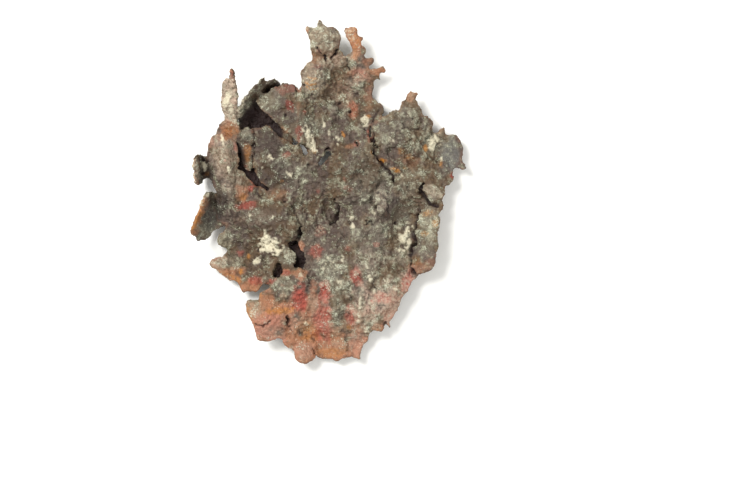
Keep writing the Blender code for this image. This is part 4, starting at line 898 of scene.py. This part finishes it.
def copperColour(add, masks, patterns):
    cream, pale, red, tan, rust, slate, dark, crack, high, up, deep, bloom = masks
    broad, middling, small, tiny, away = patterns

    # patterns that lean on where a mineral grows: each source times its share
    worn = add("Math", {0: red, 1: tan}, operation="MAXIMUM")[0]
    leaning = []
    for shares in (
        ((small, 1), (red, 0.38)),
        # the dusting leans to the grains' tops: dust, with a painted highlight on the relief
        ((small, 0.6), (middling, 0.4), (pale, 0.16), (high, 0.16), (worn, -0.08)),
        ((tiny, 1), (middling, 0.7), (pale, 0.08)),
    ):
        total = 0
        for source, share in shares:
            total = add("Math", {0: source, 1: share, 2: total}, operation="MULTIPLY_ADD")[0]
        leaning.append(total)
    blotch, dustingAndHighlight, dustAndGlints = leaning

    # how much each source adds: where it starts, where it is full, how much that is, and how it grows
    eased = []
    for source, start, full, most, course in (
        (broad, 0.5, 0.62, 0.35, "SMOOTHSTEP"),
        (dustingAndHighlight, 0.54, 0.84, 0.7, "SMOOTHSTEP"),
        (pale, 0, 1, 0.4, "LINEAR"),
        (dark, 0, 1, 0.7, "LINEAR"),
        # painted shade: in the grooves of the relief, in the hollows of the bump, and in the crystals'
        # grooves
        (high, 0.45, 0.1, 0.4, "SMOOTHSTEP"),
        (small, 0.42, 0.3, 0.26, "SMOOTHSTEP"),
        (away, 0.42, 0.75, 0.3, "SMOOTHSTEP"),
    ):
        eased.append(add("MapRange", {0: source, 1: start, 2: full, 4: most}, interpolation_type=course)[0])
    broadFlush, thickDustAndHighlight, thinDust, tenoriteAndShade, grooveShade, bumpHollowShade, crystalGrooveShade = eased

    # where several lie together, the strongest counts
    strongest = []
    for amounts in (
        (broadFlush, bloom),
        (thickDustAndHighlight, thinDust),
        (tenoriteAndShade, grooveShade, bumpHollowShade, crystalGrooveShade),
        (deep, crack),
        (tan, bloom),
    ):
        amount = amounts[0]
        for other in amounts[1:]:
            amount = add("Math", {0: amount, 1: other}, operation="MAXIMUM")[0]
        strongest.append(amount)
    flush, dustAndHighlight, shade, gapShadeMask, light = strongest
    below = add("Math", {0: 1, 1: up}, operation="SUBTRACT")[0]
    skinned = add("Math", {0: tan, 1: -0.75, 2: 1}, operation="MULTIPLY_ADD")[0]
    shadeable = add("Math", {0: light, 1: -0.5, 2: 1}, operation="MULTIPLY_ADD")[0]

    # one film over another: colour, strength, where it lies, and the patterns that break it up
    bare = (middling, *copper["rubbed"])
    colour = linear(copper["brown"])
    for name, strength, places, breaks in (
        ("mauve", 1, [], [(broad, 0.42, 0.58)]),
        ("olive", 1, [], [(middling, 0.48, 0.66)]),
        ("liver", 0.6, [], [(small, 0.56, 0.68), (middling, 0.52, 0.42)]),
        ("verdigris", 0.7, [below], [(broad, 0.5, 0.62)]),
        ("slate", 0.75, [slate], []),
        ("tan", 0.95, [tan], [bare]),
        ("pinkish", 1, [tan, flush], [bare]),
        ("cuprite", 1, [red], [(blotch, 0.44, 0.64)]),
        ("liver", 0.25, [red], [(blotch, 0.44, 0.64), (tiny, 0.62, 0.4)]),
        ("bloom", 1, [bloom, skinned], [(small, 0.3, 0.65)]),
        ("malachite", 1, [dustAndHighlight], []),
        ("calcite", 0.5, [], [(dustingAndHighlight, 0.77, 0.92)]),
        ("shadow", 1, [shade, shadeable], []),
        ("limonite", 1, [rust], [(small, 0.3, 0.55)]),
        ("calcite", 0.95, [cream], [(small, 0.2, 0.45)]),
        # pale specks: grains of dust, and painted glints off the crystals
        ("dustAndGlint", 0.56, [], [(dustAndGlints, 0.99, 1.09)]),
        # painted shade in the cracks and pits and on the ground below the sheet
        ("gapShade", 0.96, [gapShadeMask], []),
    ):
        for source, start, full in breaks:
            broken = add("MapRange", {0: source, 1: start, 2: full}, interpolation_type="SMOOTHSTEP")
            places.append(broken[0])
        amount = strength
        for place in places:
            amount = add("Math", {0: amount, 1: place}, operation="MULTIPLY", use_clamp=True)[0]
        colour = add("Mix", {0: amount, 6: colour, 7: linear(copper[name])}, data_type="RGBA")[2]
    return colour


def weatheredCopper():
    material = bpy.data.materials.new("weatheredCopper")
    material.use_nodes = True
    tree = material.node_tree
    add = partial(addNode, tree)
    masks, patterns = skinMasks(add), skinPatterns(add)
    tan = masks[3]
    middling, small, tiny, away = patterns[1:]
    low, top = copper["roughness"]
    roughness = add("MapRange", {0: small, 3: low, 4: top})[0]
    start, full = copper["rubbed"]
    metal = {0: middling, 1: start, 2: full, 4: copper["metallic"]}
    metal = add("MapRange", metal, interpolation_type="SMOOTHSTEP")[0]
    metal = add("Math", {0: tan, 1: metal}, operation="MULTIPLY", use_clamp=True)[0]
    grit = add("Math", {0: tiny, 1: copper["bumpTiny"], 2: small}, operation="MULTIPLY_ADD")[0]
    grit = add("Math", {0: away, 1: copper["bumpCrystals"], 2: grit}, operation="MULTIPLY_ADD")[0]
    bump = add("Bump", {"Height": grit, "Strength": 1, "Distance": copper["bumpDepth"] * mm})[0]
    shader = tree.nodes["Principled BSDF"]
    shader.inputs["Specular IOR Level"].default_value = copper["specular"]
    colour = copperColour(add, masks, patterns)
    sources = {"Base Color": colour, "Roughness": roughness, "Metallic": metal, "Normal": bump}
    for socket, source in sources.items():
        tree.links.new(source, shader.inputs[socket])
    return material


def thinned(skin):
    rough = bpy.data.objects.new("rough", skin)
    bpy.context.scene.collection.objects.link(rough)
    decimate = rough.modifiers.new("Thin", "DECIMATE")
    decimate.ratio = min(1, sheet["mostTriangles"] / (2 * len(skin.polygons)))
    graph = bpy.context.evaluated_depsgraph_get()
    thin = bpy.data.meshes.new_from_object(rough.evaluated_get(graph))
    bpy.data.objects.remove(rough, do_unlink=True)
    points = readPoints(thin)[0]
    points[:, 2] = np.maximum(points[:, 2], relief["lowest"])
    thin.vertices.foreach_set("co", (points * mm).astype(np.float32).ravel())
    thin.update()
    return thin


def makeSheet():
    skin = growSheet()
    print("sheet grown,", len(skin.polygons), "faces")
    weather(skin)
    print("sheet weathered")
    skin = thinned(skin)
    skin.shade_smooth()
    skin.materials.clear()
    skin.materials.append(weatheredCopper())
    piece = bpy.data.objects.new("copperSheet", skin)
    bpy.context.scene.collection.objects.link(piece)
    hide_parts(sheet["node"])
    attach(piece, "root")
    print("sheet made,", len(skin.polygons), "faces")


# a sheet of paper on a table, two soft lamps and a camera straight above
stage = {
    "lens": 120, "sensor": 36, "frameWidth": 225,  # mm; the last is how much of the table the view spans
    "aim": (14.1, -17.55), "plane": 5,  # mm; the point that the camera looks down on, and its height
    "clipStart": 0.01,  # m
    "floorHalf": 900, "floor": "#fbfaf5", "floorRoughness": 0.9,
    "lamps": {"key": ((-0.42, 0.36, 0.62), 8.3, 0.36), "fill": ((0.4, -0.4, 0.6), 2.5, 0.6)},  # m, W, m
    "daylight": 0.55,
}


# Matt white paper: an even, pale ground with hardly any gloss.
def whitePaper():
    material = bpy.data.materials.new("whitePaper")
    material.use_nodes = True
    shader = material.node_tree.nodes["Principled BSDF"]
    shader.inputs["Base Color"].default_value = linear(stage["floor"])
    shader.inputs["Roughness"].default_value = stage["floorRoughness"]
    return material


def makeStage():
    scene = bpy.context.scene
    half = stage["floorHalf"] * mm
    corners = [(-half, -half, 0), (half, -half, 0), (half, half, 0), (-half, half, 0)]
    mesh = bpy.data.meshes.new("floor")
    mesh.from_pydata(corners, [], [(0, 1, 2, 3)])
    mesh.materials.append(whitePaper())
    floor = bpy.data.objects.new("floor", mesh)
    scene.collection.objects.link(floor)
    for name, (place, watts, size) in stage["lamps"].items():
        light = bpy.data.lights.new(name, "AREA")
        light.energy = watts
        light.size = size
        lamp = bpy.data.objects.new(name, light)
        lamp.location = place
        lamp.rotation_euler = (-Vector(place)).to_track_quat("-Z", "Y").to_euler()
        scene.collection.objects.link(lamp)
    world = bpy.data.worlds.new("studio")
    world.use_nodes = True
    world.node_tree.nodes["Background"].inputs[0].default_value = (1, 1, 1, 1)
    world.node_tree.nodes["Background"].inputs[1].default_value = stage["daylight"]
    scene.world = world
    camera = bpy.data.cameras.new("camera")
    camera.lens = stage["lens"]
    camera.sensor_width = stage["sensor"]
    camera.clip_start = stage["clipStart"]
    eye = bpy.data.objects.new("camera", camera)
    reach = stage["frameWidth"] * stage["lens"] / stage["sensor"]
    eye.location = (stage["aim"][0] * mm, stage["aim"][1] * mm, (stage["plane"] + reach) * mm)
    scene.collection.objects.link(eye)
    scene.camera = eye
    scene.view_settings.view_transform = "Standard"


makeSheet()
makeStage()
print("stage made")
